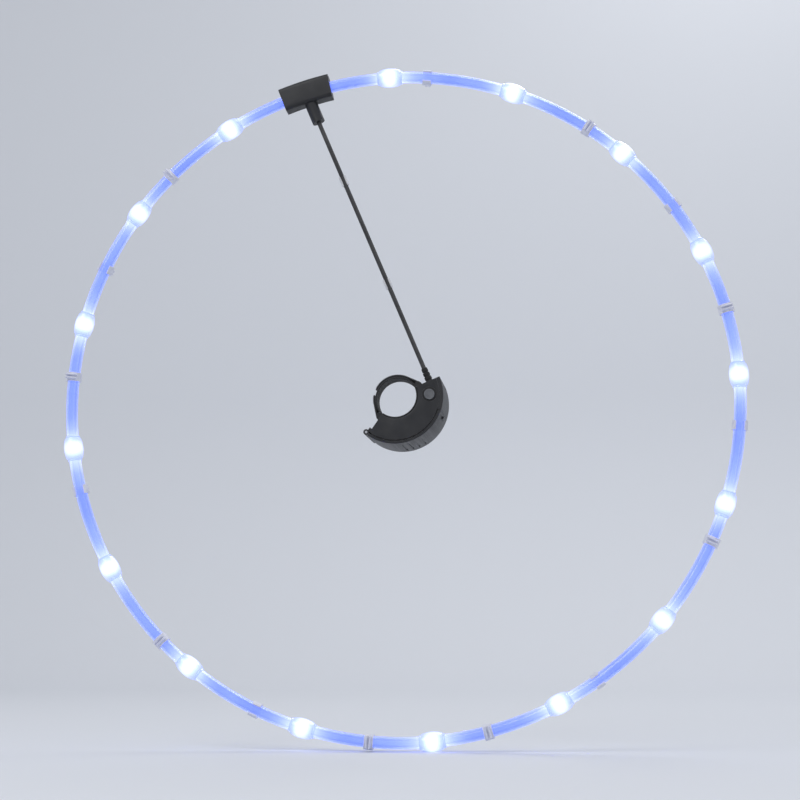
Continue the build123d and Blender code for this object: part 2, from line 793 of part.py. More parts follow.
gasket_start = bay_half + gasket_inset_angle
gasket_end = gasket_start + gasket_angle
with BuildPart() as lid_gasket:
    with BuildSketch(Plane.XZ):
        band(rim_radius + fit_gap, rim_radius + gasket_height, -gasket_end, gasket_end)
    extrude(amount=inside_half + gasket_inset + gasket_width, both=True)
    with BuildSketch(Plane.XZ):
        band(rim_radius - overrun, lid_outer, -gasket_start, gasket_start)
    extrude(amount=inside_half + gasket_inset, both=True, mode=Mode.SUBTRACT)
lid_gasket.part.label = "lid_gasket"
export_step(lid_gasket.part, "parts/lid_gasket.step")

# Electronics cover: a shell with a thin roof and a rim that stands on the walls
cover_inner = rim_radius + 2 * fit_gap
cover_seat = lid_outer - screw_head_height - 2 * fit_gap
with BuildPart() as electronics_cover:
    with BuildSketch(Plane.XZ):
        band(cover_inner, lid_outer, lid_end + lid_gap_step, case_end)
    extrude(amount=case_length / 2, both=True)
    fillet(
        electronics_cover.edges()
        .filter_by(GeomType.CIRCLE)
        .filter_by(lambda edge: abs(edge.radius - lid_outer) < fit_gap),
        case_edge,
    )
    with BuildSketch(Plane.XZ):
        band(cover_inner - overrun, lid_inner, electronics_start, electronics_end - 2 * cover_screw_angle)
    extrude(amount=inside_half, both=True, mode=Mode.SUBTRACT)
    for along in cover_screws_along:
        with BuildSketch(case_plane(lid_outer + overrun, electronics_end, along)):
            Circle(screw_radius + fit_gap)
        extrude(amount=-2 * case_wall - 2 * overrun, mode=Mode.SUBTRACT)
        with BuildSketch(case_plane(cover_seat, electronics_end, along)):
            Circle(screw_head_radius + fit_gap)
        extrude(amount=case_wall + overrun, mode=Mode.SUBTRACT)
electronics_cover.part.label = "electronics_cover"
export_step(electronics_cover.part, "parts/electronics_cover.step")

with BuildPart() as cover_screws:
    for along in cover_screws_along:
        with BuildSketch(case_plane(cover_seat, electronics_end, along)):
            Circle(screw_head_radius)
        extrude(amount=screw_head_height)
        with BuildSketch(case_plane(cover_seat, electronics_end, along)):
            Circle(screw_radius)
        extrude(amount=-(cover_screw_length + cover_seat - rim_radius - fit_gap))
cover_screws.part.label = "cover_screws"
export_step(cover_screws.part, "parts/cover_screws.step")

# Cells lie head to tail, so that plates and springs join them in series
cell_ways = [1 - 2 * (place % 2) for place in range(cell_count)]
for place, (angle, way) in enumerate(zip(cell_angles, cell_ways)):
    centre = spot(cell_place, angle)
    shoulder = way * (contact_face - nub_height)
    with BuildPart() as cell:
        bar(centre, cell_radius, (shoulder, shoulder - way * (cell_length - nub_height)))
        fillet(cell.edges().filter_by(GeomType.CIRCLE), cell_edge)
        bar(centre, nub_radius, (shoulder, way * contact_face))
    name = f"battery_{place + 1}"
    cell.part.label = name
    export_step(cell.part, f"parts/{name}.step")


def spring_place(centre, foot, rise, turns):
    """A point of the spring's line after some turns, and the wire's heading there."""
    turned = radians(full_turn * turns)
    x = centre[0] + spring_radius * cos(turned)
    z = centre[1] + spring_radius * sin(turned)
    point = Vector(x, foot + rise * turns, z)
    circle = radians(full_turn) * spring_radius
    heading = Vector(-circle * sin(turned), rise, circle * cos(turned))
    return point, heading.normalized()


def contact_spring(centre, way):
    """A coil spring between a cell's flat end and its plate, wound of smooth pairs of arcs."""
    foot = -way * (contact_face - spring_wire_radius)
    rise = way * (spring_height - 2 * spring_wire_radius) / spring_turns
    print("spring gap between turns", round(abs(rise) - 2 * spring_wire_radius, 2))
    with BuildPart() as spring:
        with BuildLine() as line:
            for quarter in range(4 * spring_turns):
                start, leave = spring_place(centre, foot, rise, quarter / 4)
                end, arrive = spring_place(centre, foot, rise, (quarter + 1) / 4)
                chord = end - start
                both = leave + arrive
                spread = 2 - 2 * leave.dot(arrive)
                reach = (sqrt(chord.dot(both) ** 2 + spread * chord.dot(chord)) - chord.dot(both)) / spread
                first_arm = start + leave * reach
                second_arm = end - arrive * reach
                middle = (first_arm + second_arm) * 0.5
                TangentArc(start, middle, tangent=leave)
                TangentArc(middle, end, tangent=second_arm - first_arm)
        start, leave = spring_place(centre, foot, rise, 0)
        with BuildSketch(Plane(origin=start, z_dir=leave)):
            Circle(spring_wire_radius)
        sweep(path=line.wire())
    return spring.part


springs = [contact_spring(spot(cell_place, angle), way) for angle, way in zip(cell_angles, cell_ways)]
with BuildPart() as contact_springs:
    add(springs)
contact_springs.part.label = "contact_springs"
export_step(contact_springs.part, "parts/contact_springs.step")

# Plates at both ends: a single one where the chain of cells starts or ends, else one for two
plate_half_step = arc_step(plate_width / 2, cell_place)
with BuildPart() as contact_plates:
    for end in (-1, 1):
        first_single = end == cell_ways[0]
        singles = cell_angles[:1] if first_single else cell_angles[-1:]
        pair = cell_angles[1:] if first_single else cell_angles[:-1]
        with BuildSketch(wheel_plane(inside_half if end > 0 else -contact_face)):
            for start, stop in ((singles[0], singles[0]), (pair[0], pair[-1])):
                band(
                    cell_place - plate_height / 2,
                    cell_place + plate_height / 2,
                    start - plate_half_step,
                    stop + plate_half_step,
                )
        extrude(amount=plate_thickness)
contact_plates.part.label = "contact_plates"
export_step(contact_plates.part, "parts/contact_plates.step")

# Two wires from the end plates, under the cells' ends and through the partition
with BuildPart() as battery_wires:
    for angle, along in battery_wire_starts:
        battery_wire(angle, electronics_start + wall_angle, along)
battery_wires.part.label = "battery_wires"
export_step(battery_wires.part, "parts/battery_wires.step")

# Circuit board on its two bosses, with what is soldered to it
circuit_middle = (circuit_ends[0] + circuit_ends[1]) / 2
with BuildPart() as circuit_board:
    with BuildSketch(case_plane(circuit_bottom, electronics_middle, circuit_middle)):
        Rectangle(circuit_ends[1] - circuit_ends[0], circuit_width)
        with Locations(*[(along - circuit_middle, 0) for along in circuit_screws]):
            Circle(board_screw_radius + fit_gap, mode=Mode.SUBTRACT)
    extrude(amount=circuit_thickness)
circuit_board.part.label = "circuit_board"
export_step(circuit_board.part, "parts/circuit_board.step")

with BuildPart() as board_screws:
    for along in circuit_screws:
        with BuildSketch(case_plane(circuit_top, electronics_middle, along)):
            Circle(board_screw_head_radius)
        extrude(amount=board_screw_head_height)
        with BuildSketch(case_plane(circuit_top, electronics_middle, along)):
            Circle(board_screw_radius)
        extrude(amount=-(circuit_thickness + board_screw_length - fit_gap))
board_screws.part.label = "board_screws"
export_step(board_screws.part, "parts/board_screws.step")

with BuildPart() as controller_chip:
    with BuildSketch(case_plane(circuit_top, electronics_middle, controller_along)):
        Rectangle(*controller_size)
    extrude(amount=controller_height)
    with BuildSketch(case_plane(circuit_top, electronics_middle, controller_along)):
        with GridLocations(controller_size[0] / 4, 0, 4, 1):
            Rectangle(controller_leg_width, controller_size[1] + 2 * controller_leg_reach)
    extrude(amount=controller_leg_height)
controller_chip.part.label = "controller_chip"
export_step(controller_chip.part, "parts/controller_chip.step")

with BuildPart() as small_components:
    for along in resistors_along:
        with BuildSketch(case_plane(circuit_top, electronics_middle, along)):
            Rectangle(*resistor_size)
        extrude(amount=resistor_height)
    with BuildSketch(case_plane(circuit_top, electronics_middle, capacitor_along)):
        Circle(capacitor_radius)
    extrude(amount=capacitor_height)
small_components.part.label = "small_components"
export_step(small_components.part, "parts/small_components.step")

with BuildPart() as lead_connector:
    with BuildSketch(case_plane(circuit_top, electronics_middle, lead_along - overrun / 2)):
        with Locations((0, connector_shift)):
            Rectangle(*connector_size)
    extrude(amount=connector_height)
    with BuildSketch(lead_plane(-lead_inside, lead_along)):
        with Locations((-core_spacing / 2, 0), (core_spacing / 2, 0)):
            Circle(core_radius + fit_gap)
    extrude(amount=-core_inside - fit_gap, mode=Mode.SUBTRACT)
lead_connector.part.label = "lead_connector"
export_step(lead_connector.part, "parts/lead_connector.step")

# Push switch, with its plunger in line with the button on the front end wall
with BuildPart() as switch_body:
    with BuildSketch(case_plane(circuit_top, electronics_middle, switch_front + switch_depth / 2)):
        Rectangle(switch_depth, switch_size)
    extrude(amount=switch_size)
    bar(
        button_centre,
        plunger_radius + pin_clearance,
        (switch_front - overrun, switch_front + plunger_bore),
        Mode.SUBTRACT,
    )
switch_body.part.label = "switch_body"
export_step(switch_body.part, "parts/switch_body.step")

with BuildPart() as switch_plunger:
    bar(
        button_centre,
        plunger_radius,
        (switch_front + plunger_entry - plunger_length, switch_front + plunger_entry),
    )
switch_plunger.part.label = "switch_plunger"
export_step(switch_plunger.part, "parts/switch_plunger.step")

with BuildPart() as power_button:
    bar(button_centre, button_radius, (-case_length / 2 - button_stand, button_back))
    fillet(power_button.edges().sort_by(Axis.Y)[0], button_edge)
    bar(button_centre, button_flange_radius, (-inside_half + fit_gap, button_back))
    bar(button_centre, button_stem_radius, (button_back, switch_front + plunger_entry - plunger_length))
power_button.part.label = "power_button"
export_step(power_button.part, "parts/power_button.step")

with BuildPart() as button_seal:
    bar(button_centre, button_seal_radius, (-case_length / 2, -case_length / 2 + button_seal_thickness))
    bar(button_centre, button_radius + moving_gap, (-case_length, 0), Mode.SUBTRACT)
button_seal.part.label = "button_seal"
export_step(button_seal.part, "parts/button_seal.step")

# Hub strap: sewn round one bar, round the hub, through the other bar and folded back
fold_inner = strap_inner + strap_thickness + strap_gap
fold_outer = fold_inner + strap_thickness
fold_angle = degrees(acos((fold_inner - strap_loop_inner) / strap_bar_place))
tab_start = strap_start + fold_angle + strap_fold_angle


def strap_loop(bar_angle, way):
    """A turn round a bar, and the straight from there to the layer that lies on top."""
    x, z = spot(strap_bar_place, bar_angle)
    leave = bar_angle + way * fold_angle
    with Locations((x, z)):
        Circle(strap_loop_outer)
        Circle(strap_loop_inner, mode=Mode.SUBTRACT)
        open_angle = full_turn / 2 - fold_angle
        wedge(open_angle, 2 * strap_loop_outer, case_turn + bar_angle + way * (full_turn - open_angle) / 2)
    inner_x, inner_z = spot(strap_loop_inner, leave)
    outer_x, outer_z = spot(strap_loop_outer, leave)
    Polygon(
        (x + inner_x, z + inner_z),
        (x + outer_x, z + outer_z),
        spot(fold_outer, leave),
        spot(fold_inner, leave),
        align=None,
    )


with BuildPart() as hub_strap:
    with BuildSketch(Plane.XZ):
        strap_loop(strap_start, 1)
        strap_loop(strap_end, -1)
        band(strap_inner, strap_inner + strap_thickness, strap_start, strap_end)
        band(fold_inner, fold_outer, strap_start + fold_angle, tab_start)
        band(fold_inner, fold_outer, strap_end - fold_angle - strap_sewn_angle, strap_end - fold_angle)
    extrude(amount=strap_width / 2, both=True)
hub_strap.part.label = "hub_strap"
export_step(hub_strap.part, "parts/hub_strap.step")

# The strap's free end, which peels off about the outer edge of the fold
tab_lift = moving_gap - strap_gap
with BuildPart() as strap_tab:
    with BuildSketch(Plane.XZ):
        band(
            fold_inner + tab_lift,
            fold_outer,
            tab_start + arc_step(moving_gap, fold_outer),
            tab_start + strap_tab_angle,
        )
    extrude(amount=strap_width / 2, both=True)
strap_tab.part.label = "strap_tab"
export_step(strap_tab.part, "parts/strap_tab.step")

print("case turned", round(case_turn, 2), "strap from", round(strap_start, 1), "to", round(strap_end, 1))
print("hinge at", spot(hinge_place, hinge_angle), "tab hinge at", spot(fold_outer, tab_start))
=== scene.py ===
import bmesh
import bpy
import json
from math import acos, atan2, cos, pi, radians, sin, sqrt
from mathutils import Matrix, Vector

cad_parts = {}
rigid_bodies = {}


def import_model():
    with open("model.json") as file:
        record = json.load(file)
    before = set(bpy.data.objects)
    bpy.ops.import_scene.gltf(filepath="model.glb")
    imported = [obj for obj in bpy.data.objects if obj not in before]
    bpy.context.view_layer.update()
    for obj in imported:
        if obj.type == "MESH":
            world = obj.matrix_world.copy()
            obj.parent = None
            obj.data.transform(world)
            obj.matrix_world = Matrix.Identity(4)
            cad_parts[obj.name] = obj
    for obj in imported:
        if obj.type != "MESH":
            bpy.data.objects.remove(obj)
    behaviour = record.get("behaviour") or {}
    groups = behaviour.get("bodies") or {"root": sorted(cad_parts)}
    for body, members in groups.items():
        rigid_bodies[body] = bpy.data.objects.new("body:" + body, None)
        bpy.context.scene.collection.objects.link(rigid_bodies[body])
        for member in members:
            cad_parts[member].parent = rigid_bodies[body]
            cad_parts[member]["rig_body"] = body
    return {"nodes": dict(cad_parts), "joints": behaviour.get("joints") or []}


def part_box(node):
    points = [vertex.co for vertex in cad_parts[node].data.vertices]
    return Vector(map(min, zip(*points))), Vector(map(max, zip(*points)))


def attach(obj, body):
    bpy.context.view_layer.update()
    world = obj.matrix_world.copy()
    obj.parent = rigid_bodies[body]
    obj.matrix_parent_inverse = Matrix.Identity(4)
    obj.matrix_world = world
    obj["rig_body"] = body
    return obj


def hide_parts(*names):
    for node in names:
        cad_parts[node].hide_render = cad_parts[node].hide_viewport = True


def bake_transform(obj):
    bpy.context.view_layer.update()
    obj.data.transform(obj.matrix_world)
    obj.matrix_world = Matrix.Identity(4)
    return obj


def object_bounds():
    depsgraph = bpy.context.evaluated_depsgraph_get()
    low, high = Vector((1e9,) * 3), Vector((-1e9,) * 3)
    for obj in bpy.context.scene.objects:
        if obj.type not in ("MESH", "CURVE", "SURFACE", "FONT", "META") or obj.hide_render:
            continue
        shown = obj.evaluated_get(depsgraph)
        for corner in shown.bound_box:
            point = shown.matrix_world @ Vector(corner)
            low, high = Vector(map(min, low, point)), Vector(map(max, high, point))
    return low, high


# Spoke wheel light: the finish of the ring, its lead and the hub pack. Lengths are in metres.
# The origin is the middle of the hub, +Y runs to the rear of the wheel, the ring lies in XZ.
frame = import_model()
case_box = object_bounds()
nodes = frame["nodes"]
body_of = {node: part["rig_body"] for node, part in nodes.items()}
slot_of = {node: part.data.materials[0].name for node, part in nodes.items()}
mm = 0.001

# Ring, read from the frame
tube_low, tube_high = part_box("light_tube")
tube_radius = (tube_high.y - tube_low.y) / 2
ring_radius = tube_high.x - tube_radius
tube_wall = 1.5 * mm
tube_grip = 10 * mm
hose_sides = 28
hose_steps = 480
lamp_nodes = sorted(name for name in nodes if name.startswith("led_lens_"))
lamp_places = [sum(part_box(name), Vector()) / 2 for name in lamp_nodes]
lamp_angles = [atan2(place.z, place.x) for place in lamp_places]
lamp_turn = 22.0
lamp_span = lamp_turn * (len(lamp_nodes) - 1)
seam_angle = lamp_angles[0] + radians(360 - lamp_span) / 2

# Colours of the light: in the hose, at its rims, round a lamp and in it
hose_blue = (0.17, 0.27, 0.9)
rim_blue = (0.42, 0.48, 1.0)
lamp_blue = (0.2, 0.28, 1.0)
lamp_white = (0.9, 0.92, 1.0)

# Pods over the lamps
pod_length = 20 * mm
pod_radius = 7.5 * mm
pod_collar = 5.4 * mm
pod_bore = tube_radius + 0.12 * mm
pod_bead = 0.35 * mm
pod_sides = 40
crown_steps = 14

# Webbing of the hub strap: it goes round the hub and back over two bars, and its end peels off
peel = Vector(next(joint["pos_m"] for joint in frame["joints"] if joint["name"] == "strap_peel"))
peel_angle = atan2(peel.z, peel.x)
strap_width = 20 * mm
strap_layer = 1.5 * mm
strap_gap = 0.1 * mm
strap_bar = 1.4 * mm
strap_span = radians(189.8)
peel_turn = radians(50)
fold_reach = peel.length - strap_layer / 2
hub_reach = fold_reach - strap_layer - strap_gap
loop_radius = strap_bar + strap_gap + strap_layer / 2
bar_reach = hub_reach + loop_radius
leave_angle = acos((fold_reach - loop_radius) / bar_reach)
strap_start = peel_angle - peel_turn - leave_angle
strap_end = strap_start + strap_span
sewn_turn = radians(22)
lap_turn = radians(8)
free_turn = radians(39.5)
web_thickness = 1.3 * mm
web_rib = 1.3 * mm
web_rib_depth = 0.04 * mm
web_step = web_rib / 4
web_sides = 40
tip_rounding = 3 * mm

# Stitches of the sewn overlap: their pitch, their half sizes and the box that they follow
stitch_pitch = 2.1 * mm
stitch_size = (0.8 * mm, 0.19 * mm, 0.16 * mm)
stitch_lift = 0.02 * mm
stitch_insets = (1.1 * mm, 0.7 * mm)
stitch_reach = 8.2 * mm

# Cells and their springs
cell_nodes = [name for name in sorted(nodes) if name.startswith("battery_") and name[-1].isdigit()]
cell_boxes = [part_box(name) for name in cell_nodes]
cell_radius = (cell_boxes[1][1].x - cell_boxes[1][0].x) / 2
contact_face = cell_boxes[0][1].y
cell_nub = 1.2 * mm
cell_roll = 0.45 * mm
foot_rise = 0.12 * mm
shoulder_drop = 0.25 * mm
spring_height = 4.7 * mm
spring_foot_radius = 2.8 * mm
spring_top_radius = 2.1 * mm
spring_wire = 0.3 * mm
spring_turns = 4.6
closed_turns = 1.0

# Rounded edges: of trim, of the clips and of the joiner
fine_edge = 0.18 * mm
clip_edge = 0.14 * mm
joiner_edge = 0.4 * mm
sharp_turn = radians(38)
rounded_turn = radians(35)
flat_turn = radians(1)

# Studio: the view, the paper of the floor, the light of the room and the pale backdrop
view_azimuth = radians(6)
view_elevation = radians(-8)
view_distance = 1.25
view_share = 0.86
film_width = 36.0
paper_colour = (0.7, 0.72, 0.76)
room_light = (0.405, 0.42, 0.45)
backdrop_light = (0.6, 0.62, 0.67)


def put(tree, kind, inputs=None, **settings):
    """Add a shader node. An input that is given a socket is linked to it."""
    node = tree.nodes.new(kind)
    for name, value in settings.items():
        setattr(node, name, value)
    for name, value in (inputs or {}).items():
        if isinstance(value, bpy.types.NodeSocket):
            tree.links.new(value, node.inputs[name])
        else:
            node.inputs[name].default_value = value
    return node


def work(tree, operation, *terms):
    """A sum of numbers or sockets, such as ADD or MULTIPLY."""
    return put(tree, "ShaderNodeMath", dict(enumerate(terms)), operation=operation).outputs[0]


def square(tree, value):
    """A value times itself."""
    return work(tree, "POWER", value, 2.0)


def diagonal(tree, first, second):
    """The distance that two lengths at a right angle make."""
    return work(tree, "SQRT", work(tree, "ADD", square(tree, first), square(tree, second)))


def stretch(tree, value, low, high, new_low=0.0, new_high=1.0):
    """A value carried from one range into another, clamped at both ends."""
    old = {"Value": value, "From Min": low, "From Max": high}
    new = {"To Min": new_low, "To Max": new_high}
    return put(tree, "ShaderNodeMapRange", {**old, **new}).outputs[0]


def between(tree, mask, first, second):
    """A colour between two others, by a mask."""
    node = put(tree, "ShaderNodeMix", data_type="RGBA")
    tree.links.new(mask, node.inputs[0])
    for place, value in ((6, first), (7, second)):
        if isinstance(value, bpy.types.NodeSocket):
            tree.links.new(value, node.inputs[place])
        else:
            node.inputs[place].default_value = (*value, 1.0)
    return node.outputs[2]


def shade(colour, gain, lift):
    """A paler or duller tone of a colour."""
    return tuple(min(1, gain * part + lift) for part in colour)


def object_place(tree, scale=(1, 1, 1)):
    """Object coordinates, stretched for a pattern."""
    here = put(tree, "ShaderNodeTexCoord").outputs["Object"]
    inputs = {"Vector": here, "Scale": scale}
    return put(tree, "ShaderNodeMapping", inputs, vector_type="POINT").outputs[0]


def apart(tree, vector):
    """The X, Y and Z of a vector."""
    return put(tree, "ShaderNodeSeparateXYZ", {0: vector}).outputs


def object_parts(tree):
    """Object coordinates as X, Y and Z."""
    return apart(tree, put(tree, "ShaderNodeTexCoord").outputs["Object"])


def map_parts(tree, layer):
    """A piece's own UV map: X along the piece and Y round it."""
    return apart(tree, put(tree, "ShaderNodeUVMap", uv_map=layer).outputs[0])


def noise(tree, place, scale, detail):
    """A cloudy pattern."""
    inputs = {"Vector": place, "Scale": scale, "Detail": detail}
    return put(tree, "ShaderNodeTexNoise", inputs).outputs[0]


def spots(tree, place, scale):
    """The distance to the nearest of many scattered points."""
    inputs = {"Vector": place, "Scale": scale}
    return put(tree, "ShaderNodeTexVoronoi", inputs).outputs["Distance"]


def effect(name, inputs, outputs):
    """A shader node group with named inputs and outputs."""
    group = bpy.data.node_groups.new(name, "ShaderNodeTree")
    face = group.interface
    for label, value in inputs.items():
        socket = face.new_socket(label, in_out="INPUT", socket_type="NodeSocketFloat")
        socket.default_value = value
    for label in outputs:
        face.new_socket(label, in_out="OUTPUT", socket_type="NodeSocketFloat")
    given = group.nodes.new("NodeGroupInput").outputs
    result = group.nodes.new("NodeGroupOutput").inputs
    return group, given, result


def make_grain():
    """Fine texture of a moulded or cut surface: a height, and a mask of its larger patches."""
    inputs = {"Size": 0.0004, "Patch": 0.02}
    tree, given, result = effect("surface_grain", inputs, ("Height", "Patches"))
    here = object_place(tree)
    scale = work(tree, "DIVIDE", 1.0, given["Size"])
    grit = noise(tree, here, scale, 2.0)
    cells = spots(tree, here, work(tree, "MULTIPLY", scale, 0.7))
    height = work(tree, "ADD", grit, work(tree, "MULTIPLY", cells, 0.5))
    patches = noise(tree, here, work(tree, "DIVIDE", 1.0, given["Patch"]), 4.0)
    tree.links.new(height, result["Height"])
    tree.links.new(stretch(tree, patches, 0.35, 0.65), result["Patches"])
    return tree


def make_wear():
    """Rubbed edges: where the surface turns sharply, whole and broken up into patches."""
    inputs = {"Width": 0.0005, "Patch": 0.004}
    tree, given, result = effect("rubbed_edges", inputs, ("Mask", "Edge"))
    rounded = put(tree, "ShaderNodeBevel", {"Radius": given["Width"]}, samples=6).outputs[0]
    true = put(tree, "ShaderNodeNewGeometry").outputs["Normal"]
    facing = put(tree, "ShaderNodeVectorMath", {0: rounded, 1: true}, operation="DOT_PRODUCT")
    edge = stretch(tree, facing.outputs["Value"], 0.998, 0.96)
    patches = noise(tree, object_place(tree), work(tree, "DIVIDE", 1.0, given["Patch"]), 5.0)
    mask = work(tree, "MULTIPLY", edge, stretch(tree, patches, 0.42, 0.62))
    tree.links.new(mask, result["Mask"])
    tree.links.new(edge, result["Edge"])
    return tree


def make_dust():
    """Dust of the road, which settles on what faces up."""
    tree, given, result = effect("road_dust", {"Patch": 0.012}, ("Mask",))
    up = apart(tree, put(tree, "ShaderNodeNewGeometry").outputs["Normal"])["Z"]
    upward = stretch(tree, up, -0.6, 1.0, 0.25, 1.0)
    patches = noise(tree, object_place(tree), work(tree, "DIVIDE", 1.0, given["Patch"]), 6.0)
    settled = work(tree, "MULTIPLY", upward, stretch(tree, patches, 0.4, 0.75))
    tree.links.new(settled, result["Mask"])
    return tree


def make_glow():
    """Light of the nearest lamp: one at the lamp, and falling off along the ring."""
    tree, given, result = effect("lamp_glow", {"Reach": 0.02, "Softness": 2.0}, ("Glow",))
    here = object_parts(tree)
    angle = work(tree, "ARCTAN2", here["Z"], here["X"])
    turned = work(tree, "SUBTRACT", lamp_angles[0] + 4 * pi, angle)
    past = work(tree, "DIVIDE", work(tree, "MODULO", turned, 2 * pi), radians(lamp_turn))
    nearest = work(tree, "MINIMUM", work(tree, "ROUND", past), float(len(lamp_nodes) - 1))
    off = work(tree, "ABSOLUTE", work(tree, "SUBTRACT", past, nearest))
    off = work(tree, "MINIMUM", off, work(tree, "SUBTRACT", 360 / lamp_turn, past))
    along = work(tree, "MULTIPLY", off, radians(lamp_turn) * ring_radius)
    across = work(tree, "SUBTRACT", diagonal(tree, here["X"], here["Z"]), ring_radius)
    aside = work(tree, "ADD", square(tree, across), square(tree, here["Y"]))
    distance = work(tree, "SQRT", work(tree, "ADD", square(tree, along), aside))
    share = work(tree, "DIVIDE", distance, given["Reach"])
    fall = work(tree, "ADD", 1.0, work(tree, "POWER", share, given["Softness"]))
    tree.links.new(work(tree, "DIVIDE", 1.0, fall), result["Glow"])
    return tree


grain = make_grain()
wear = make_wear()
dust = make_dust()
glow = make_glow()


def use(tree, group, **inputs):
    """Place a node group in a material with its own values."""
    return put(tree, "ShaderNodeGroup", inputs, node_tree=group).outputs


def finish(name, **values):
    """A new material, its node tree and its main shader, with the plain values set."""
    material = bpy.data.materials.new(name)
    material.use_nodes = True
    tree = material.node_tree
    shader = tree.nodes["Principled BSDF"]
    for socket, value in values.items():
        shader.inputs[socket.replace("_", " ")].default_value = value
    return material, tree, shader


def wire_up(tree, shader, **links):
    """Link sockets to the main shader's inputs, named with _ for a space."""
    for name, socket in links.items():
        tree.links.new(socket, shader.inputs[name.replace("_", " ")])


def bump(tree, height, distance):
    """A surface that stands up and down by a height map."""
    return put(tree, "ShaderNodeBump", {"Height": height, "Distance": distance}).outputs[0]


def give_light(tree, shader, tone, lit, steady, extra, evenness=1.0):
    """Light of a tone: steady all over, with something extra near a lamp."""
    peak = steady + extra
    share = stretch(tree, lit, 0.0, 1.0, steady / peak, 1.0)
    share = work(tree, "MULTIPLY", share, evenness)
    shader.inputs["Emission Strength"].default_value = peak
    wire_up(tree, shader, Emission_Color=between(tree, share, (0, 0, 0), tone))


def light_up(tree, shader, reach, softness, strength):
    """Blue light that the nearest lamp throws on a piece inside the hose."""
    near = use(tree, glow, Reach=reach, Softness=softness)["Glow"]
    give_light(tree, shader, hose_blue, near, steady=0.0, extra=strength)


def hose_finish():
    """Clear soft hose, filled with the lamps' blue light."""
    material, tree, shader = finish(
        "lit_clear_hose", IOR=1.42, Transmission_Weight=0.76, Coat_Weight=0.35
    )
    lit = use(tree, glow, Reach=0.014, Softness=3.0)["Glow"]
    milk = use(tree, grain, Size=0.004, Patch=0.03)
    scuffs = use(tree, wear, Width=0.0004, Patch=0.003)["Edge"]
    colour = between(tree, milk["Patches"], (0.36, 0.43, 0.88), (0.44, 0.5, 0.94))
    rim = put(tree, "ShaderNodeLayerWeight", {"Blend": 0.32}).outputs["Facing"]
    tone = between(tree, stretch(tree, rim, 0.1, 0.75), hose_blue, rim_blue)
    tone = between(tree, work(tree, "MULTIPLY", lit, 0.7), tone, lamp_white)
    uneven = stretch(tree, milk["Patches"], 0.0, 1.0, 0.9, 1.0)
    give_light(tree, shader, tone, lit, steady=0.38, extra=0.34, evenness=uneven)
    wire_up(
        tree,
        shader,
        Base_Color=between(tree, scuffs, colour, (0.5, 0.6, 0.9)),
        Roughness=stretch(tree, milk["Height"], 0.3, 1.0, 0.16, 0.26),
        Normal=bump(tree, milk["Height"], 0.00002),
    )
    return material


def pod_finish():
    """Frosted pod, white over its lamp and blue at its ends."""
    material, tree, shader = finish(
        "lit_frosted_pod", IOR=1.46, Transmission_Weight=0.2, Coat_Weight=0.4
    )
    lit = use(tree, glow, Reach=0.0086, Softness=9.0)["Glow"]
    frost = use(tree, grain, Size=0.0005, Patch=0.006)
    edges = use(tree, wear, Width=0.0003, Patch=0.003)["Edge"]
    rim = put(tree, "ShaderNodeLayerWeight", {"Blend": 0.4}).outputs["Facing"]
    facing = stretch(tree, rim, 0.15, 0.85, 1.0, 0.0)
    core = work(tree, "MULTIPLY", lit, stretch(tree, facing, 0.0, 1.0, 0.45, 1.0))
    tone = between(tree, core, lamp_blue, lamp_white)
    uneven = stretch(tree, frost["Patches"], 0.0, 1.0, 0.93, 1.0)
    give_light(tree, shader, tone, core, steady=0.5, extra=0.75, evenness=uneven)
    wire_up(
        tree,
        shader,
        Base_Color=between(tree, edges, (0.42, 0.53, 0.9), (0.7, 0.78, 1.0)),
        Roughness=stretch(tree, frost["Height"], 0.3, 1.0, 0.2, 0.36),
        Normal=bump(tree, frost["Height"], 0.00002),
    )
    return material


def chip_finish():
    """The lamp itself: a lit window in a white body."""
    material, tree, shader = finish("lamp_chip_lit", Roughness=0.3)
    lit = use(tree, glow, Reach=0.0024, Softness=6.0)["Glow"]
    phosphor = use(tree, grain, Size=0.0002, Patch=0.001)["Patches"]
    colour = between(tree, phosphor, (0.8, 0.86, 1), (0.95, 0.97, 1))
    wire_up(tree, shader, Base_Color=colour)
    tone = between(tree, lit, lamp_blue, (0.6, 0.75, 1.0))
    give_light(tree, shader, tone, lit, steady=2.0, extra=10.0)
    return material


def moulded_finish(name, colour, worn, rough, size, depth, edge=0.0004):
    """Moulded plastic or rubber: fine grain, rubbed edges and a little dust."""
    material, tree, shader = finish(name, Specular_IOR_Level=0.4)
    skin = use(tree, grain, Size=size, Patch=0.015)
    edges = use(tree, wear, Width=edge, Patch=0.003)["Mask"]
    settled = use(tree, dust, Patch=0.01)["Mask"]
    tone = between(tree, skin["Patches"], colour, shade(colour, 1.35, 0.003))
    tone = between(tree, edges, tone, worn)
    tone = between(tree, work(tree, "MULTIPLY", settled, 0.035), tone, (0.42, 0.39, 0.34))
    shine = stretch(tree, skin["Height"], 0.3, 1.1, rough - 0.08, rough + 0.1)
    shine = work(tree, "ADD", shine, work(tree, "MULTIPLY", settled, 0.15))
    shine = work(tree, "SUBTRACT", shine, work(tree, "MULTIPLY", edges, 0.12))
    normal = bump(tree, skin["Height"], depth)
    wire_up(tree, shader, Base_Color=tone, Roughness=shine, Normal=normal)
    return material


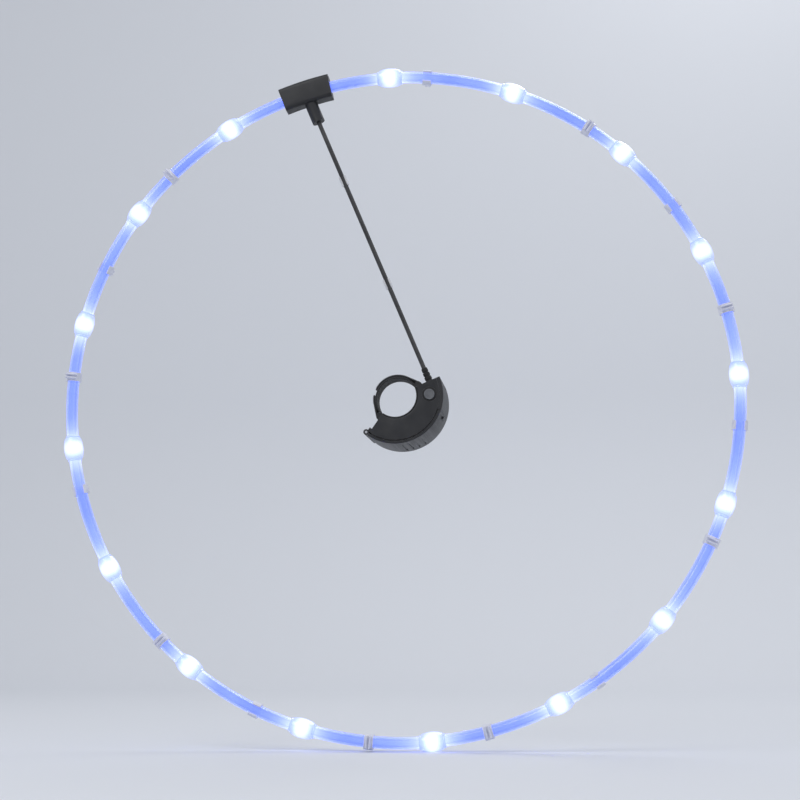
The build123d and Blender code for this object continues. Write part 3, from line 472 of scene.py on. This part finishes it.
def button_finish():
    """Soft grey cap of the button, with fine rings for grip round its dished middle and painted
    shade between the rings.
    """
    material, tree, shader = finish("button_soft_grey", Specular_IOR_Level=0.45)
    here = object_parts(tree)
    low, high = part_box("power_button")
    half = (high.x - low.x) / 2
    aside = work(tree, "SUBTRACT", here["X"], (low.x + high.x) / 2)
    above = work(tree, "SUBTRACT", here["Z"], (low.z + high.z) / 2)
    reach = diagonal(tree, aside, above)
    ringed = work(tree, "SINE", work(tree, "MULTIPLY", reach, 2 * pi / (0.17 * half)))
    inside = stretch(tree, reach, 0.72 * half, 0.66 * half)
    rings = work(tree, "MULTIPLY", ringed, inside)
    dish = work(tree, "MULTIPLY", square(tree, work(tree, "DIVIDE", reach, half)), 3.0)
    skin = use(tree, grain, Size=0.0003, Patch=0.003)
    edges = use(tree, wear, Width=0.0004, Patch=0.002)["Mask"]
    tone = between(tree, skin["Patches"], (0.1, 0.105, 0.115), (0.14, 0.145, 0.155))
    # Painted shade: the hollows between the grip rings are darkened in colour
    painted_groove_shade = work(tree, "MULTIPLY", stretch(tree, rings, -1.0, 0.2, 0.6, 0.0), inside)
    tone = between(tree, painted_groove_shade, tone, (0.05, 0.05, 0.055))
    height = work(tree, "ADD", rings, dish)
    height = work(tree, "ADD", height, work(tree, "MULTIPLY", skin["Height"], 0.3))
    wire_up(
        tree,
        shader,
        Base_Color=between(tree, edges, tone, (0.26, 0.26, 0.27)),
        Roughness=stretch(tree, skin["Height"], 0.3, 1.0, 0.42, 0.58),
        Normal=bump(tree, height, 0.00008),
    )
    return material


def nylon_finish(name, lamplight=0.0):
    """Natural nylon of the clips. On the ring it picks up the light of the lamps."""
    material, tree, shader = finish(name, IOR=1.5)
    skin = use(tree, grain, Size=0.0004, Patch=0.004)
    edges = use(tree, wear, Width=0.0003, Patch=0.002)["Mask"]
    tone = between(tree, skin["Patches"], (0.56, 0.57, 0.6), (0.66, 0.66, 0.67))
    wire_up(
        tree,
        shader,
        Base_Color=between(tree, edges, tone, (0.84, 0.84, 0.84)),
        Roughness=stretch(tree, skin["Height"], 0.3, 1.0, 0.32, 0.48),
        Normal=bump(tree, skin["Height"], 0.00002),
    )
    if lamplight:
        lit = use(tree, glow, Reach=0.03, Softness=1.5)["Glow"]
        tone = between(tree, lit, hose_blue, rim_blue)
        give_light(tree, shader, tone, lit, steady=0.25 * lamplight, extra=lamplight)
    return material


def metal_finish(name, colour, rough, drawn=(1, 1, 1), lit=0.0):
    """Metal with drawn or turned lines and faint stains."""
    material, tree, shader = finish(name, Metallic=1.0)
    lines = noise(tree, object_place(tree, drawn), 2600.0, 2.0)
    stains = use(tree, grain, Size=0.0006, Patch=0.003)["Patches"]
    wire_up(
        tree,
        shader,
        Base_Color=between(tree, stains, colour, shade(colour, 0.88, 0)),
        Roughness=stretch(tree, lines, 0.3, 0.7, rough - 0.06, rough + 0.1),
        Normal=bump(tree, lines, 0.000003),
    )
    if lit:
        light_up(tree, shader, 0.02, 1.5, lit)
    return material


def board_finish(name, mask_colour, pad_colour, lit=0.0):
    """Circuit board: solder mask with traces and pads."""
    material, tree, shader = finish(name, Coat_Weight=0.3)
    here = object_place(tree)
    rows = {"Vector": here, "Scale": 260.0, "Mortar Size": 0.05}
    traces = put(tree, "ShaderNodeTexBrick", rows).outputs["Fac"]
    pad = stretch(tree, spots(tree, here, 420.0), 0.16, 0.12)
    skin = use(tree, grain, Size=0.0004, Patch=0.004)["Height"]
    traced = work(tree, "MULTIPLY", traces, 0.6)
    tone = between(tree, traced, mask_colour, shade(mask_colour, 1.8, 0.01))
    wire_up(
        tree,
        shader,
        Base_Color=between(tree, pad, tone, pad_colour),
        Roughness=stretch(tree, skin, 0.3, 1.0, 0.25, 0.4),
        Metallic=work(tree, "MULTIPLY", pad, 0.8),
        Normal=bump(tree, work(tree, "ADD", traces, pad), 0.00003),
    )
    if lit:
        light_up(tree, shader, 0.01, 2.0, lit)
    return material


def cell_finish():
    """Plain sleeve of a cell: a slate body, a pale band and bright steel at its ends."""
    material, tree, shader = finish("cell_sleeve_print", Coat_Weight=0.4)
    way = map_parts(tree, "sleeve")["X"]
    skin = use(tree, grain, Size=0.0005, Patch=0.008)
    body = between(tree, skin["Patches"], (0.1, 0.125, 0.175), (0.125, 0.15, 0.205))
    band = between(tree, skin["Patches"], (0.42, 0.45, 0.5), (0.5, 0.53, 0.57))
    tone = between(tree, stretch(tree, way, 0.78, 0.781), body, band)
    begun = stretch(tree, way, 0.755, 0.756)
    line = work(tree, "MULTIPLY", begun, stretch(tree, way, 0.766, 0.765))
    tone = between(tree, line, tone, (0.42, 0.45, 0.5))
    foot = stretch(tree, way, 0.008, 0.007)
    bare = work(tree, "MAXIMUM", foot, stretch(tree, way, 0.965, 0.966))
    wire_up(
        tree,
        shader,
        Base_Color=between(tree, bare, tone, (0.62, 0.62, 0.61)),
        Roughness=stretch(tree, skin["Height"], 0.3, 1.0, 0.26, 0.38),
        Metallic=stretch(tree, bare, 0.0, 1.0, 0.25, 1.0),
        Normal=bump(tree, skin["Patches"], 0.00003),
    )
    return material


def webbing_finish(name, colour, pile=0.0):
    """Woven nylon webbing: chevrons of thread across the strap, with painted shade between the
    threads and a soft sheen.
    """
    material, tree, shader = finish(name, Sheen_Weight=0.18, Sheen_Roughness=0.5)
    cloth = map_parts(tree, "weave")
    fold = work(tree, "PINGPONG", cloth["Y"], 0.0025)
    slant = work(tree, "ADD", cloth["X"], work(tree, "MULTIPLY", fold, 1.2))
    twill = work(tree, "SINE", work(tree, "MULTIPLY", slant, 2 * pi / 0.0013))
    warp = work(tree, "SINE", work(tree, "MULTIPLY", cloth["Y"], 2 * pi / 0.0008))
    twill_part = work(tree, "MULTIPLY", twill, 0.6)
    threads = work(tree, "ADD", twill_part, work(tree, "MULTIPLY", warp, 0.4))
    fuzz = noise(tree, object_place(tree), 3500.0, 3.0)
    patches = use(tree, grain, Size=0.0004, Patch=0.01)["Patches"]
    # Painted shade of the weave: the colour is paler on the raised threads and darker in the
    # hollows between them
    raised = work(tree, "MULTIPLY", stretch(tree, threads, -0.9, 0.9), 0.7)
    tone = between(tree, raised, colour, shade(colour, 2.6, 0.006))
    tone = between(tree, work(tree, "MULTIPLY", patches, 0.1), tone, (0.16, 0.15, 0.14))
    weave = work(tree, "MULTIPLY", threads, 1 - pile)
    height = work(tree, "ADD", weave, work(tree, "MULTIPLY", fuzz, 0.7 + 3 * pile))
    wire_up(
        tree,
        shader,
        Base_Color=tone,
        Roughness=stretch(tree, fuzz, 0.3, 0.7, 0.7, 0.95),
        Normal=bump(tree, height, 0.0001),
    )
    return material


def jacket_finish(name, colour, rough=0.38):
    """Soft jacket of the lead, sleeve of a core or thread: faint waves, scuffs and dust."""
    material, tree, shader = finish(name, Specular_IOR_Level=0.45)
    waves = noise(tree, object_place(tree), 220.0, 2.0)
    scuffs = use(tree, grain, Size=0.0003, Patch=0.006)["Patches"]
    settled = use(tree, dust, Patch=0.008)["Mask"]
    tone = between(tree, scuffs, colour, shade(colour, 1.5, 0.006))
    dusty = work(tree, "MULTIPLY", settled, 0.1)
    wire_up(
        tree,
        shader,
        Base_Color=between(tree, dusty, tone, (0.4, 0.37, 0.33)),
        Roughness=stretch(tree, scuffs, 0.0, 1.0, rough - 0.06, rough + 0.12),
        Normal=bump(tree, waves, 0.00012),
    )
    return material


finishes = {
    "clear_hose": hose_finish(),
    "clear_lens": pod_finish(),
    "tinned_wire": metal_finish(
        "tinned_rail_wire", (0.62, 0.64, 0.7), 0.3, (0.05, 1, 0.05), lit=0.2
    ),
    "lamp_board": board_finish(
        "lamp_board_white", (0.62, 0.68, 0.8), (0.75, 0.6, 0.35), lit=0.8
    ),
    "lamp_chip": chip_finish(),
    "clip_nylon": nylon_finish("clip_nylon_lit", 0.16),
    "black_case": moulded_finish(
        "black_case_grain", (0.008, 0.0085, 0.0105), (0.075, 0.075, 0.08), 0.42, 0.00028, 0.00004
    ),
    "black_rubber": moulded_finish(
        "black_rubber_matt", (0.01, 0.01, 0.011), (0.04, 0.04, 0.04), 0.7, 0.0006, 0.00005
    ),
    "lead_jacket": jacket_finish("lead_jacket_black", (0.018, 0.018, 0.02)),
    "core_sleeve": jacket_finish("core_sleeve_red", (0.45, 0.03, 0.025), 0.42),
    "screw_steel": metal_finish("zinc_screw_steel", (0.58, 0.58, 0.6), 0.3),
    "contact_nickel": metal_finish("bright_nickel", (0.72, 0.7, 0.65), 0.34, (1, 0.15, 1)),
    "cell_sleeve": cell_finish(),
    "circuit_green": board_finish(
        "solder_mask_green", (0.012, 0.09, 0.035), (0.78, 0.62, 0.3)
    ),
    "component_black": moulded_finish(
        "chip_package_black", (0.02, 0.02, 0.021), (0.07, 0.07, 0.07), 0.55, 0.0002, 0.00001, 0.0002
    ),
    "connector_white": moulded_finish(
        "connector_nylon", (0.72, 0.71, 0.66), (0.85, 0.85, 0.82), 0.42, 0.0003, 0.00001, 0.0002
    ),
    "webbing": webbing_finish("woven_webbing", (0.013, 0.0135, 0.016)),
    "button_grey": button_finish(),
}
pile_finish = webbing_finish("hook_and_loop_pile", (0.018, 0.018, 0.02), 0.6)
thread_finish = jacket_finish("sewing_thread", (0.07, 0.072, 0.08), 0.6)
holder_finish = nylon_finish("holder_nylon_plain")
for node, part in nodes.items():
    part.data.materials[0] = finishes[slot_of[node]]


def piece(name, bm, stands_for=(), body=None, finish_name=None, materials=None):
    """Make a finished piece of a mesh, give it its material and let it ride on its body."""
    mesh = bpy.data.meshes.new(name)
    bm.to_mesh(mesh)
    bm.free()
    mesh.shade_smooth()
    mesh.set_sharp_from_angle(angle=sharp_turn)
    made = bpy.data.objects.new(name, mesh)
    bpy.context.scene.collection.objects.link(made)
    stands_for = [stands_for] if isinstance(stands_for, str) else list(stands_for)
    finish_name = finish_name or slot_of[stands_for[0]]
    for material in materials or [finishes[finish_name]]:
        mesh.materials.append(material)
    if body is not False:
        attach(made, body or body_of[stands_for[0]])
    if stands_for:
        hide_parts(*stands_for)
    return made


def soften(made, width, segments=2):
    """Round a piece's edges."""
    rounding = made.modifiers.new("rounding", "BEVEL")
    rounding.width = width
    rounding.segments = segments
    rounding.limit_method = "ANGLE"
    rounding.angle_limit = rounded_turn
    rounding.harden_normals = True


def copy_of(node):
    """A merged copy of a CAD node, with its flat faces made whole."""
    bm = bmesh.new()
    bm.from_mesh(nodes[node].data)
    bmesh.ops.remove_doubles(bm, verts=bm.verts[:], dist=1e-6)
    bmesh.ops.dissolve_limit(bm, angle_limit=flat_turn, verts=bm.verts[:], edges=bm.edges[:])
    return bm


def bend_to_ring(bm, angle):
    """Bend a piece that was made straight, X ahead and Z outwards, to lie on the ring."""
    for vert in bm.verts:
        turned = angle + vert.co.x / ring_radius
        reach = ring_radius + vert.co.z
        vert.co = Vector((reach * cos(turned), vert.co.y, reach * sin(turned)))


def outline(bm, points):
    """A line of vertices joined by edges, from a few points."""
    verts = [bm.verts.new(point) for point in points]
    edges = [bm.edges.new(pair) for pair in zip(verts, verts[1:])]
    return verts, edges


def turn_profile(points, axis=(1, 0, 0), sides=32):
    """Spin a line of points all the way round an axis."""
    bm = bmesh.new()
    verts, edges = outline(bm, points)
    line = verts + edges
    bmesh.ops.spin(bm, geom=line, axis=axis, angle=2 * pi, steps=sides, use_merge=True)
    bmesh.ops.remove_doubles(bm, verts=bm.verts[:], dist=1e-7)
    bmesh.ops.recalc_face_normals(bm, faces=bm.faces[:])
    return bm


def make_hose():
    """The tube: a thick-walled hose round the ring, open at the seam."""
    grip_turn = tube_grip / ring_radius
    turn = Matrix.Rotation(-(seam_angle + grip_turn), 4, "Y")
    bm = bmesh.new()
    for radius in (tube_radius, tube_radius - tube_wall):
        rim = bmesh.ops.create_circle(bm, segments=hose_sides, radius=radius)["verts"]
        bmesh.ops.transform(bm, matrix=turn @ Matrix.Translation((ring_radius, 0, 0)), verts=rim)
    bmesh.ops.bridge_loops(bm, edges=bm.edges[:])
    whole = bm.faces[:] + bm.edges[:] + bm.verts[:]
    round_turn = 2 * pi - 2 * grip_turn
    bmesh.ops.spin(bm, geom=whole, axis=(0, -1, 0), angle=round_turn, steps=hose_steps)
    bmesh.ops.recalc_face_normals(bm, faces=bm.faces[:])
    piece("clear_hose", bm, "light_tube")


def make_pod(node, angle):
    """A moulded pod: two beaded collars and a crowned body, bent to the ring."""
    half = pod_length / 2
    points = [
        (-half, 0, pod_bore),
        (-half, 0, pod_collar - pod_bead),
        (-half + pod_bead, 0, pod_collar),
        (-half + 3 * pod_bead, 0, pod_collar),
        (-half + 4 * pod_bead, 0, pod_collar - pod_bead / 2),
        (-half + 5 * pod_bead, 0, pod_collar + pod_bead / 2),
    ]
    collar = points[:]
    first = -half + 6 * pod_bead
    for step in range(crown_steps + 1):
        x = first - 2 * first * step / crown_steps
        swell = 1 - (x / half) ** 2
        points.append((x, 0, pod_collar + (pod_radius - pod_collar) * swell))
    points += [(-x, y, z) for x, y, z in reversed(collar)]
    points.append(points[0])
    bm = turn_profile(points, sides=pod_sides)
    bend_to_ring(bm, angle)
    piece(node.replace("led_lens", "lamp_pod"), bm, node)


def sweep(along, around, place, size):
    """A tube or strap made of a grid whose sides meet. A rule places each of its points."""
    bm = bmesh.new()
    bmesh.ops.create_grid(bm, x_segments=along, y_segments=around, size=0.5)
    weave = bm.loops.layers.uv.new("weave")
    for face in bm.faces:
        for corner in face.loops:
            share = corner.vert.co
            corner[weave].uv = ((share.x + 0.5) * size[0], (share.y + 0.5) * size[1])
    for vert in bm.verts:
        vert.co = place(vert.co.x + 0.5, vert.co.y + 0.5)
    bmesh.ops.remove_doubles(bm, verts=bm.verts[:], dist=1e-7)
    bmesh.ops.holes_fill(bm, edges=[edge for edge in bm.edges if edge.is_boundary], sides=0)
    bmesh.ops.recalc_face_normals(bm, faces=bm.faces[:])
    return bm


def heading(angle):
    """The way out from the hub at an angle."""
    return Vector((cos(angle), 0, sin(angle)))


def arc(centre, radius, start, turn, side=1):
    """A stretch of strap that bends round a centre: its length and the rule for its points."""
    def place(share):
        way = heading(start + turn * share)
        return centre + radius * way, side * way
    return abs(turn) * radius, place


def straight(first, last, face):
    """A flat stretch of strap."""
    def place(share):
        return first.lerp(last, share), face
    return (last - first).length, place


# The strap's run: from its sewn end round the last bar, along the hub to the first bar, round
# that bar and back over itself to the line where the free end starts
hub = Vector()
first_bar = bar_reach * heading(strap_start)
last_bar = bar_reach * heading(strap_end)
leave_first = strap_start + leave_angle
leave_last = strap_end - leave_angle
first_out = heading(leave_first)
last_out = heading(leave_last)
sewn_stretch = arc(hub, fold_reach, leave_last - sewn_turn, sewn_turn)
hub_stretches = [
    sewn_stretch,
    straight(fold_reach * last_out, last_bar + loop_radius * last_out, last_out),
    arc(last_bar, loop_radius, leave_last, pi + leave_angle),
    arc(hub, hub_reach, strap_end, -strap_span, -1),
    arc(first_bar, loop_radius, strap_start + pi, pi + leave_angle),
    straight(first_bar + loop_radius * first_out, fold_reach * first_out, first_out),
    arc(hub, fold_reach, leave_first, peel_angle - lap_turn - leave_first),
]
free_stretches = [arc(hub, fold_reach, peel_angle - lap_turn, lap_turn + free_turn)]
web_flat = strap_width - web_thickness
web_girth = 2 * web_flat + pi * web_thickness


def strap_line(stretches, distance):
    """The strap's middle line and the way its face points, at a distance along it."""
    for length, place in stretches:
        if distance <= length:
            break
        distance -= length
    return place(min(1, distance / length))


def web_section(share):
    """A point of the webbing's flat section with rounded edges: across it, and out of its face."""
    distance = share * web_girth
    edge = pi * web_thickness / 2
    half = web_thickness / 2
    for side in (1, -1):
        if distance <= web_flat:
            return side * (distance - web_flat / 2), side * half
        distance -= web_flat
        if distance <= edge:
            turned = distance / half
            return side * (web_flat / 2 + half * sin(turned)), side * half * cos(turned)
        distance -= edge
    return -web_flat / 2, half


def length_of(stretches):
    """The length of a run of strap."""
    return sum(length for length, _ in stretches)


def make_webbing(name, stretches, stands_for, pile_range, past=0.0, tip=False, **riding):
    """Webbing along its stretches, ribbed by its weave, with pile on part of its inner face.

    past is the length of webbing that leads up to it, whose ribs and threads it carries on.
    """
    length = length_of(stretches)

    def place(along, around):
        distance = along * length
        middle, face = strap_line(stretches, distance)
        across, out = web_section(around)
        rib = web_rib_depth * cos(2 * pi * (past + distance) / web_rib)
        out += rib * out / web_thickness
        if tip and length - distance < tip_rounding:
            short = tip_rounding - (length - distance)
            corner = sqrt(max(0, tip_rounding ** 2 - short ** 2))
            reach = strap_width / 2 - tip_rounding + corner
            across *= reach / (strap_width / 2)
        return middle + out * face + Vector((0, across, 0))

    bm = sweep(round(length / web_step), web_sides, place, (length, web_girth))
    weave = bm.loops.layers.uv["weave"]
    first, last = pile_range
    for face in bm.faces:
        middle = sum((corner[weave].uv for corner in face.loops), Vector((0, 0))) / len(face.loops)
        inner = web_section(middle.y / web_girth)[1] < -0.4 * web_thickness
        face.material_index = int(inner and first * length < middle.x < last * length)
        for corner in face.loops:
            corner[weave].uv.x += past
    return piece(name, bm, stands_for, materials=[finishes["webbing"], pile_finish], **riding)


def make_stitches():
    """Sewing thread of the overlap: a box with a cross in it, in short raised stitches."""
    bm = bmesh.new()
    length, place = sewn_stretch
    low, high, side = stitch_insets[0], length - stitch_insets[1], stitch_reach
    box = [Vector(corner) for corner in ((low, -side), (high, -side), (high, side), (low, side))]
    seams = list(zip(box, box[1:] + box[:1])) + [(box[0], box[2]), (box[1], box[3])]
    size = Matrix.Diagonal((*stitch_size, 1))
    for first, last in seams:
        seam = last - first
        count = max(2, round(seam.length / stitch_pitch))
        for number in range(count):
            spot = first + seam * (number + 0.5) / count
            middle, face = place(spot.x / length)
            way = Vector((-face.z * seam.x, seam.y, face.x * seam.x)).normalized()
            turn = Matrix((way, face.cross(way), face)).transposed().to_4x4()
            centre = middle + (web_thickness / 2 + stitch_lift) * face + Vector((0, spot.y, 0))
            matrix = Matrix.Translation(centre) @ turn @ size
            bmesh.ops.create_uvsphere(bm, u_segments=10, v_segments=6, radius=1, matrix=matrix)
    riding = {"body": body_of["hub_strap"], "finish_name": "webbing"}
    piece("strap_stitches", bm, materials=[thread_finish], **riding)


def make_cell(node, low, high):
    """A cell: a sleeved can with a rolled foot, a stepped shoulder and a bright tip."""
    centre = (low + high) / 2
    way = 1 if centre.y > 0 else -1
    length = high.y - low.y
    roll = cell_roll
    can = length - cell_nub
    rule = [
        (0.0, 0.0),
        (0.0, 0.62 * cell_radius),
        (foot_rise, 0.68 * cell_radius),
        (foot_rise, cell_radius - 2 * roll),
        (0.0, cell_radius - 1.6 * roll),
        (0.0, cell_radius - roll),
        (0.3 * roll, cell_radius - 0.3 * roll),
        (roll, cell_radius),
        (can - roll, cell_radius),
        (can - 0.3 * roll, cell_radius - 0.3 * roll),
        (can, cell_radius - roll),
        (can, cell_radius - 2.2 * roll),
        (can - shoulder_drop, cell_radius - 2.5 * roll),
        (can - shoulder_drop, 3.4 * mm),
        (can, 2.9 * mm),
        (can, 2.75 * mm),
        (length - 0.2 * mm, 2.7 * mm),
        (length, 2.5 * mm),
        (length, 0.0),
    ]
    points = [(reach, place, 0) for place, reach in rule]
    bm = turn_profile(points, axis=(0, 1, 0), sides=48)
    sleeve = bm.loops.layers.uv.new("sleeve")
    for face in bm.faces:
        for corner in face.loops:
            corner[sleeve].uv = (corner.vert.co.y / length, 0.5)
    foot = centre.y - way * length / 2
    for vert in bm.verts:
        vert.co = Vector((centre.x + vert.co.x, foot + way * vert.co.y, centre.z + vert.co.z))
    if way < 0:
        bmesh.ops.reverse_faces(bm, faces=bm.faces[:])
    piece(node + "_can", bm, node)


def gather(whole, part):
    """Add a mesh that was made on its own to a larger one."""
    mesh = bpy.data.meshes.new("part")
    part.to_mesh(mesh)
    part.free()
    whole.from_mesh(mesh)
    bpy.data.meshes.remove(mesh)


def make_springs():
    """Coil springs under the cells' flat ends: closed at both ends, narrower towards the cell."""
    turns, closed = spring_turns, closed_turns
    rise = spring_height - 2 * spring_wire
    lift = 2.05 * spring_wire
    whole = bmesh.new()
    for low, high in cell_boxes:
        middle = (low + high) / 2
        way = 1 if middle.y > 0 else -1

        def place(along, around):
            turned = along * turns
            if turned < closed:
                height = lift * turned
            elif turned > turns - closed:
                height = rise - lift * (turns - turned)
            else:
                height = lift + (rise - 2 * lift) * (turned - closed) / (turns - 2 * closed)
            narrow = max(0, (turned - closed) / (turns - closed)) ** 1.5
            reach = spring_foot_radius + (spring_top_radius - spring_foot_radius) * narrow
            reach += spring_wire * cos(2 * pi * around)
            foot = way * (spring_wire - contact_face + height) + spring_wire * sin(2 * pi * around)
            return Vector((middle.x, foot, middle.z)) + reach * heading(2 * pi * turned)

        gather(whole, sweep(140, 10, place, (1, 1)))
    piece("spring_coils", whole, "contact_springs")


def islands(node):
    """The separate solids of a CAD node, each as a list of points."""
    bm = copy_of(node)
    left = set(bm.verts)
    found = []
    while left:
        reached = [left.pop()]
        for vert in reached:
            for edge in vert.link_edges:
                other = edge.other_vert(vert)
                if other in left:
                    left.remove(other)
                    reached.append(other)
        found.append([vert.co.copy() for vert in reached])
    bm.free()
    return found


def only_verts(made):
    """The vertices among what an operator made."""
    return [item for item in made if isinstance(item, bmesh.types.BMVert)]


def make_screw(head, height, shank, length):
    """A pan-head screw that points up, with a cross recess cut into its head."""
    rim = 0.66 * head
    points = [
        (rim, 0, 0),
        (0.84 * head, 0, -0.1 * height),
        (0.95 * head, 0, -0.28 * height),
        (head, 0, -0.55 * height),
        (head, 0, -0.94 * height),
        (0.96 * head, 0, -height),
        (shank, 0, -height),
        (shank, 0, shank - length),
        (0.25 * shank, 0, -length),
        (0, 0, -length),
    ]
    bm = turn_profile(points, axis=(0, 0, 1), sides=32)
    top = [edge for edge in bm.edges if edge.is_boundary]
    wide, long = 0.16 * head, 0.52 * head
    corner = [(long, wide), (wide, wide), (wide, long)]
    cross = [Vector((x, y, 0)) for x, y in corner]
    cross += [Vector((-point.x, point.y, 0)) for point in reversed(cross)]
    cross += [Vector((point.x, -point.y, 0)) for point in reversed(cross)]
    verts, edges = outline(bm, cross)
    edges.append(bm.edges.new((verts[-1], verts[0])))
    bmesh.ops.triangle_fill(bm, edges=top + edges, use_beauty=True, normal=(0, 0, 1))
    inside = [face for face in bm.faces if all(vert in verts for vert in face.verts)]
    bmesh.ops.delete(bm, geom=inside, context="FACES_ONLY")
    lower = only_verts(bmesh.ops.extrude_edge_only(bm, edges=edges)["geom"])
    bmesh.ops.scale(bm, vec=(0.72, 0.72, 1), verts=lower)
    bmesh.ops.translate(bm, vec=(0, 0, -0.5 * height), verts=lower)
    bmesh.ops.holes_fill(bm, edges=[edge for edge in bm.edges if edge.is_boundary], sides=0)
    bmesh.ops.recalc_face_normals(bm, faces=bm.faces[:])
    return bm


def remake_screws(node, head, height, shank, radial):
    """Cross-head screws in place of a node's plain ones, along the axle or out from the hub."""
    whole = bmesh.new()
    for points in islands(node):
        middle = sum(points, Vector()) / len(points)
        axis = Vector((middle.x, 0, middle.z)).normalized() if radial else Vector((0, 1, 0))
        reach = [point.dot(axis) for point in points]
        top = middle + (max(reach) - middle.dot(axis)) * axis
        screw = make_screw(head, height, shank, max(reach) - min(reach))
        turn = axis.to_track_quat("Z", "Y").to_matrix().to_4x4()
        bmesh.ops.transform(screw, matrix=Matrix.Translation(top) @ turn, verts=screw.verts[:])
        gather(whole, screw)
    piece(node + "_cross_head", whole, node)


make_hose()
for node, angle in zip(lamp_nodes, lamp_angles):
    make_pod(node, angle)

hub_length = length_of(hub_stretches)
to_hub = length_of(hub_stretches[:3])
round_hub = length_of(hub_stretches[3:4])
pile_range = [(to_hub + share * round_hub) / hub_length for share in (0.5, 0.97)]
make_webbing("hub_webbing", hub_stretches, "hub_strap", pile_range)
tab = make_webbing(
    "strap_free_end", free_stretches, "strap_tab", (0.3, 0.96), hub_length, tip=True, body=False
)
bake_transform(tab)
make_stitches()
for node, (low, high) in zip(cell_nodes, cell_boxes):
    make_cell(node, low, high)
make_springs()
remake_screws("joiner_screws", 1.9 * mm, 1.4 * mm, 1.0 * mm, radial=False)
remake_screws("cover_screws", 1.9 * mm, 1.4 * mm, 1.0 * mm, radial=True)
remake_screws("board_screws", 1.5 * mm, 1.0 * mm, 0.8 * mm, radial=True)

for name, node, edge, segments in (
    ("clip_bodies", "spoke_clips", clip_edge, 2),
    ("joiner_front_shell", "joiner_front", joiner_edge, 3),
    ("joiner_rear_shell", "joiner_rear", joiner_edge, 3),
    ("case_base_shell", "pack_base", fine_edge, 2),
    ("lid_shell", "pack_lid", fine_edge, 2),
    ("cover_shell", "electronics_cover", fine_edge, 2),
    ("lead_holders", "lead_clips", fine_edge, 2),
    ("button_cap", "power_button", fine_edge, 3),
    ("hub_cushion", "hub_pad", fine_edge, 2),
    ("lead_relief", "lead_gland", fine_edge, 2),
):
    materials = [holder_finish] if node == "lead_clips" else None
    soften(piece(name, copy_of(node), node, materials=materials), edge, segments)


def look_at(thing, target):
    """Point the camera or a lamp at a place."""
    thing.rotation_mode = "QUATERNION"
    thing.rotation_quaternion = (target - thing.location).to_track_quat("-Z", "Y")


def make_camera():
    """The camera, at the angle from which the wheel is seen."""
    data = bpy.data.cameras.new("view")
    camera = bpy.data.objects.new("view", data)
    bpy.context.scene.collection.objects.link(camera)
    low, high = case_box
    centre = (low + high) / 2
    flat = cos(view_elevation)
    aside, ahead = sin(view_azimuth) * flat, -cos(view_azimuth) * flat
    camera.location = centre + view_distance * Vector((aside, ahead, sin(view_elevation)))
    look_at(camera, centre)
    data.sensor_width = film_width
    data.lens = film_width * view_distance / ((high.x - low.x) / view_share)
    data.clip_start, data.clip_end = 0.05, 20.0
    bpy.context.scene.camera = camera


def make_stage():
    """A pale floor that curves up into a pale backdrop. From below it is clear."""
    ground = case_box[0].z
    near, depth, bend, height, width = -1.5, 1.1, 0.5, 3.0, 1.9
    steps = 12
    points = [(-width, near, ground), (-width, depth, ground)]
    for step in range(1, steps + 1):
        turned = radians(90 * step / steps)
        rise = bend * (1 - cos(turned))
        points.append((-width, depth + bend * sin(turned), ground + rise))
    points.append((-width, depth + bend, ground + height))
    bm = bmesh.new()
    edges = outline(bm, points)[1]
    moved = only_verts(bmesh.ops.extrude_edge_only(bm, edges=edges)["geom"])
    bmesh.ops.translate(bm, vec=(2 * width, 0, 0), verts=moved)
    mesh = bpy.data.meshes.new("studio_floor")
    bm.to_mesh(mesh)
    bm.free()
    mesh.shade_smooth()
    floor = bpy.data.objects.new("studio_floor", mesh)
    bpy.context.scene.collection.objects.link(floor)
    material, tree, shader = finish("studio_paper", Roughness=0.85)
    shader.inputs["Base Color"].default_value = (*paper_colour, 1.0)
    below = put(tree, "ShaderNodeNewGeometry").outputs["Backfacing"]
    clear = put(tree, "ShaderNodeBsdfTransparent").outputs[0]
    seen = put(tree, "ShaderNodeMixShader", {0: below, 1: shader.outputs[0], 2: clear}).outputs[0]
    tree.links.new(seen, tree.nodes["Material Output"].inputs["Surface"])
    mesh.materials.append(material)


def make_lamp(name, place, size, power):
    """A soft studio lamp that faces the object."""
    data = bpy.data.lights.new(name, "AREA")
    data.shape = "SQUARE"
    data.size = size
    data.energy = power
    lamp = bpy.data.objects.new(name, data)
    lamp.location = place
    look_at(lamp, Vector())
    bpy.context.scene.collection.objects.link(lamp)


def make_light():
    """Plain soft studio light."""
    make_lamp("key_lamp", (-1.2, -1.6, 1.5), 1.4, 26)
    make_lamp("fill_lamp", (1.6, -1.3, 0.6), 1.6, 9)
    make_lamp("back_lamp", (0.6, 1.0, 1.6), 1.2, 12)
    world = bpy.data.worlds.new("studio")
    world.use_nodes = True
    tree = world.node_tree
    rays = put(tree, "ShaderNodeLightPath").outputs
    seen = work(tree, "MAXIMUM", rays["Is Camera Ray"], rays["Is Glossy Ray"])
    seen = work(tree, "MAXIMUM", seen, rays["Is Transmission Ray"])
    light = between(tree, seen, room_light, backdrop_light)
    tree.links.new(light, tree.nodes["Background"].inputs["Color"])
    bpy.context.scene.world = world


make_camera()
make_stage()
make_light()
bpy.context.scene.view_settings.view_transform = "Standard"
